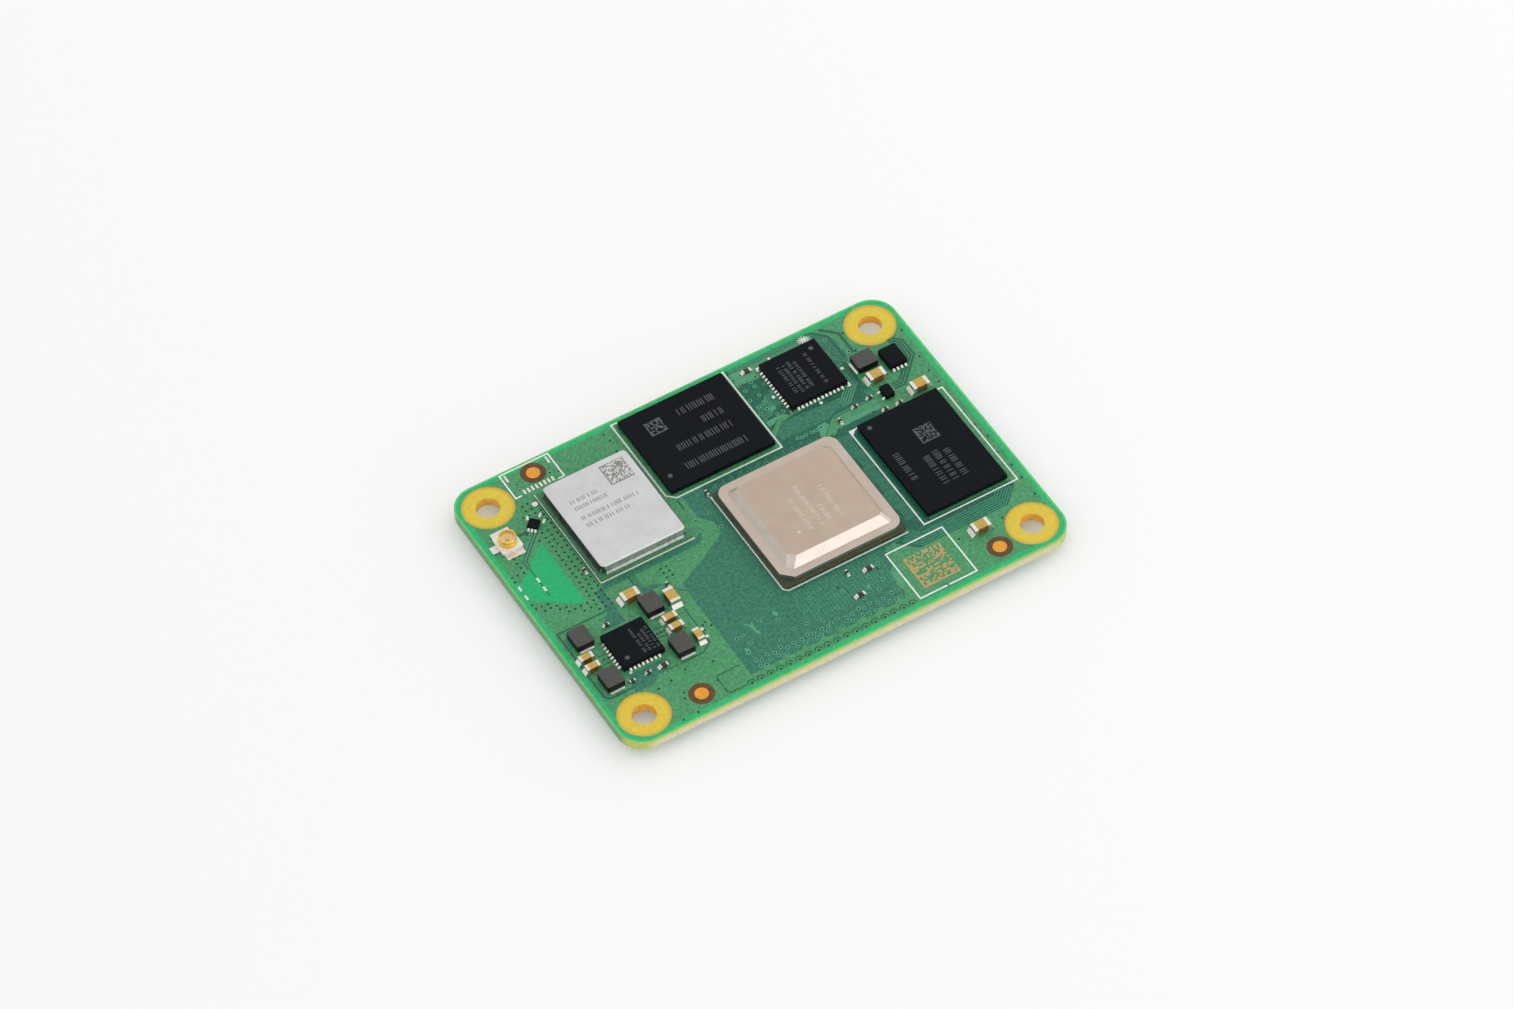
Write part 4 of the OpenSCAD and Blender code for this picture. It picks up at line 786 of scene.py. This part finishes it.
ink_dots = [disc(x, y, r, FINE_SIDES) for x, y, r in DOTS]
slabs("legend", frames + [ink_dots] + burst, INK_TOP, legend_ink)

# %% [markdown]
# ## Code fields and marks
# Inspection cameras read square codes of small cells. One is bared in the copper inside the label field,
# and others are burnt into the shield and the chips by laser. Here the cells are drawn by a seeded
# generator inside the usual solid border, so they look right and say nothing. The lines of print on the
# chips are plain upright bars, for the same reason.

# %% Codes and marks
bared_copper = moulded("bared tan copper", ("#a98f58", "#bda36b"), 0.3, (0.45, 0.6), 0.003)
laser_grey = moulded("laser mark on epoxy", ("#4c4e51", "#606266"), 0.15, (0.6, 0.75), 0.002, 0.2)
laser_metal = moulded("laser mark on metal", ("#7d7c77", "#94938e"), 0.2, (0.5, 0.65), 0.002, 0.3)
laser_lid = moulded("laser mark on nickel", ("#c9bcb0", "#d6cbc0"), 0.2, (0.5, 0.65), 0.002, 0.3)
BAR_W = 0.11
BAR_GAPS = (0.13, 0.16, 0.22, 0.38)
MARK_RISE = 0.003
CODE_TOP = TOP_Z + 0.021


def code(x0, y0, x1, y1, cells, share=0.5):
    """Square cells of a code: two solid sides, two broken ones and a random middle."""
    size_x, size_y = (x1 - x0) / cells, (y1 - y0) / cells
    found = []
    for i in range(cells):
        for j in range(cells):
            border = i == 0 or j == 0 or ((i == cells - 1 or j == cells - 1) and (i + j) % 2 == 0)
            if border or draw.random() < share:
                x, y = x0 + i * size_x, y0 + j * size_y
                found.append([(x, y), (x + size_x, y), (x + size_x, y + size_y), (x, y + size_y)])
    return found


def bars(x0, y0, x1, y1, turned=False):
    """One line of print as plain bars across it; the line runs along Y where turned is set."""
    found, at, end = [], (y0 if turned else x0), (y1 if turned else x1)
    while at < end - BAR_W:
        if turned:
            found.append([(x0, at), (x1, at), (x1, at + BAR_W), (x0, at + BAR_W)])
        else:
            found.append([(at, y0), (at + BAR_W, y0), (at + BAR_W, y1), (at, y1)])
        at += BAR_W + draw.choice(BAR_GAPS)
    return found


def on_chip(name, node, outlines, finish):
    """Marks on the top of a chip."""
    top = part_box(node)[1][2] / MM
    slabs(name, [outlines], top + MARK_RISE, finish, foot=top - SINK)


slabs("label_code", [code(9.65, -17.9, 14.2, -13.35, 18, 0.4)], CODE_TOP, bared_copper)
marks = code(-4.4, 15.0, -2.4, 17.0, 12)
for y, x0 in ((16.0, -0.4), (13.8, 1.4), (11.7, -2.9), (9.0, -3.4)):
    marks += bars(x0, y, 4.2, y + 0.95)
on_chip("flash_marks", "flash_chip", marks, laser_grey)
marks = code(19.7, -1.5, 21.9, 0.8, 14)
for x, y1 in ((21.0, -2.9), (19.8, -2.9), (18.6, -2.9), (16.0, -0.7)):
    marks += bars(x, y1 - 4.5, x + 0.75, y1, True)
on_chip("memory_marks", "memory_chip", marks, laser_grey)
marks = []
for x in (11.75, 12.4, 13.05, 13.7, 15.25):
    marks += bars(x, 11.5 + draw.uniform(0, 0.6), x + 0.42, 16.3, True)
on_chip("ethernet_marks", "ethernet_chip", marks, laser_grey)
marks = []
for x in (-20.1, -19.55, -19.0, -18.5):
    marks += bars(x, -10.0, x + 0.34, -6.4 + draw.uniform(-1, 0.4), True)
on_chip("power_marks", "power_chip", marks, laser_grey)
marks = code(-11.9, 10.75, -9.0, 13.7, 18)
for y, x1 in ((10.7, -13.5), (9.7, -12.6), (8.2, -9.9), (7.1, -11.4)):
    marks += bars(-16.9, y, x1, y + 0.55)
on_chip("shield_marks", "wireless_shield", marks, laser_metal)
marks = []
for x, y0, y1 in ((2.6, -6.2, -1.3), (3.95, -6.3, 0.1), (4.95, -6.1, -3.8), (6.35, -6.2, -1.4)):
    marks += bars(x, y0, x + 0.5, y1, True)
marks.append(disc(1.45, -5.9, 0.22))
on_chip("lid_marks", "processor_lid", marks, laser_lid)

# %% [markdown]
# ## First-pin dots
# Ejector pins leave a polished round dimple in a moulded package, and the first pin's is inked or lasered
# pale. The dimples are in the solids, and a thin disc in each gives the pale floor.

# %% First-pin dots
DOT_R = 0.27
DOT_DOWN = 0.022
DOT_FOOT = 0.04
dimples = {"flash_chip": (1.0, 1.95, -1, -1), "memory_chip": (1.0, 1.0, -1, 1),
           "ethernet_chip": (1.0, 1.0, 1, 1), "power_chip": (1.0, 1.0, -1, -1)}
for name, (dx, dy, sx, sy) in dimples.items():
    low, high = (Vector(corner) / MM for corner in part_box(name))
    x = high.x - dx if sx > 0 else low.x + dx
    y = high.y - dy if sy > 0 else low.y + dy
    slabs(name + "_dot", [[disc(x, y, DOT_R, FINE_SIDES)]], high.z - DOT_DOWN, laser_grey,
          foot=high.z - DOT_FOOT)

# %% [markdown]
# ## Floor, light and background
# A pale sweep under soft light keeps attention on the part. The floor mixes a white surface, which takes
# the part's shadow, with a share of plain white of strength 1 that only the camera and reflections get. An
# even world gives most of the light. One broad lamp stands to the right, so shadows fall to the left, and a
# low card in front fills the slope of the lid.

# %% Floor
FLOOR_HALF = 3.0
FLOOR_DROP = 0.00002
WHITE_SHARE = 0.2
floor_mesh = bpy.data.meshes.new("floor")
signs = ((-1, -1), (1, -1), (1, 1), (-1, 1))
floor_corners = [(sx * FLOOR_HALF, sy * FLOOR_HALF, 0) for sx, sy in signs]
floor_mesh.from_pydata(floor_corners, [], [(0, 1, 2, 3)])
floor = bpy.data.objects.new("floor", floor_mesh)
floor.location.z = -FLOOR_DROP
bpy.context.collection.objects.link(floor)
sweep = bpy.data.materials.new("white sweep")
sweep.use_nodes = True
tree = sweep.node_tree
tree.nodes.clear()
rays = add(tree, "LightPath").outputs
seen = calc(tree, "MAXIMUM", calc(tree, "MAXIMUM", rays["Is Camera Ray"], rays["Is Glossy Ray"]),
            rays["Is Transmission Ray"])
surface = add(tree, "BsdfDiffuse", {"Color": linear("#fafafa")})
white = add(tree, "Emission", {"Color": (1, 1, 1, 1), "Strength": 1.0})
share = calc(tree, "MULTIPLY", seen, WHITE_SHARE)
blend = add(tree, "MixShader", {0: share, 1: surface.outputs[0], 2: white.outputs[0]})
add(tree, "OutputMaterial", {"Surface": blend.outputs[0]})
floor_mesh.materials.append(sweep)
print("floor ready")

# %% World and lamps
WORLD_STRENGTH = 0.88
world = bpy.data.worlds.new("studio")
bpy.context.scene.world = world
world.use_nodes = True
background = world.node_tree.nodes["Background"]
background.inputs["Color"].default_value = (1, 1, 1, 1)
background.inputs["Strength"].default_value = WORLD_STRENGTH


def lamp(name, direction, distance, width, depth, watts):
    """A soft rectangular lamp that looks at the part from that direction."""
    light = bpy.data.lights.new(name, "AREA")
    light.shape = "RECTANGLE"
    light.size, light.size_y, light.energy = width, depth, watts
    place = bpy.data.objects.new(name, light)
    bpy.context.collection.objects.link(place)
    toward = Vector(direction).normalized()
    place.location = toward * distance
    place.rotation_euler = toward.to_track_quat("Z", "Y").to_euler()


lamp("key", (0.85, 0.15, 0.7), distance=0.7, width=0.7, depth=0.7, watts=0.85)
lamp("front_card", (0.31, -0.91, 0.27), distance=0.6, width=0.5, depth=0.3, watts=0.43)
bpy.context.scene.view_settings.view_transform = "Standard"
print("studio ready")
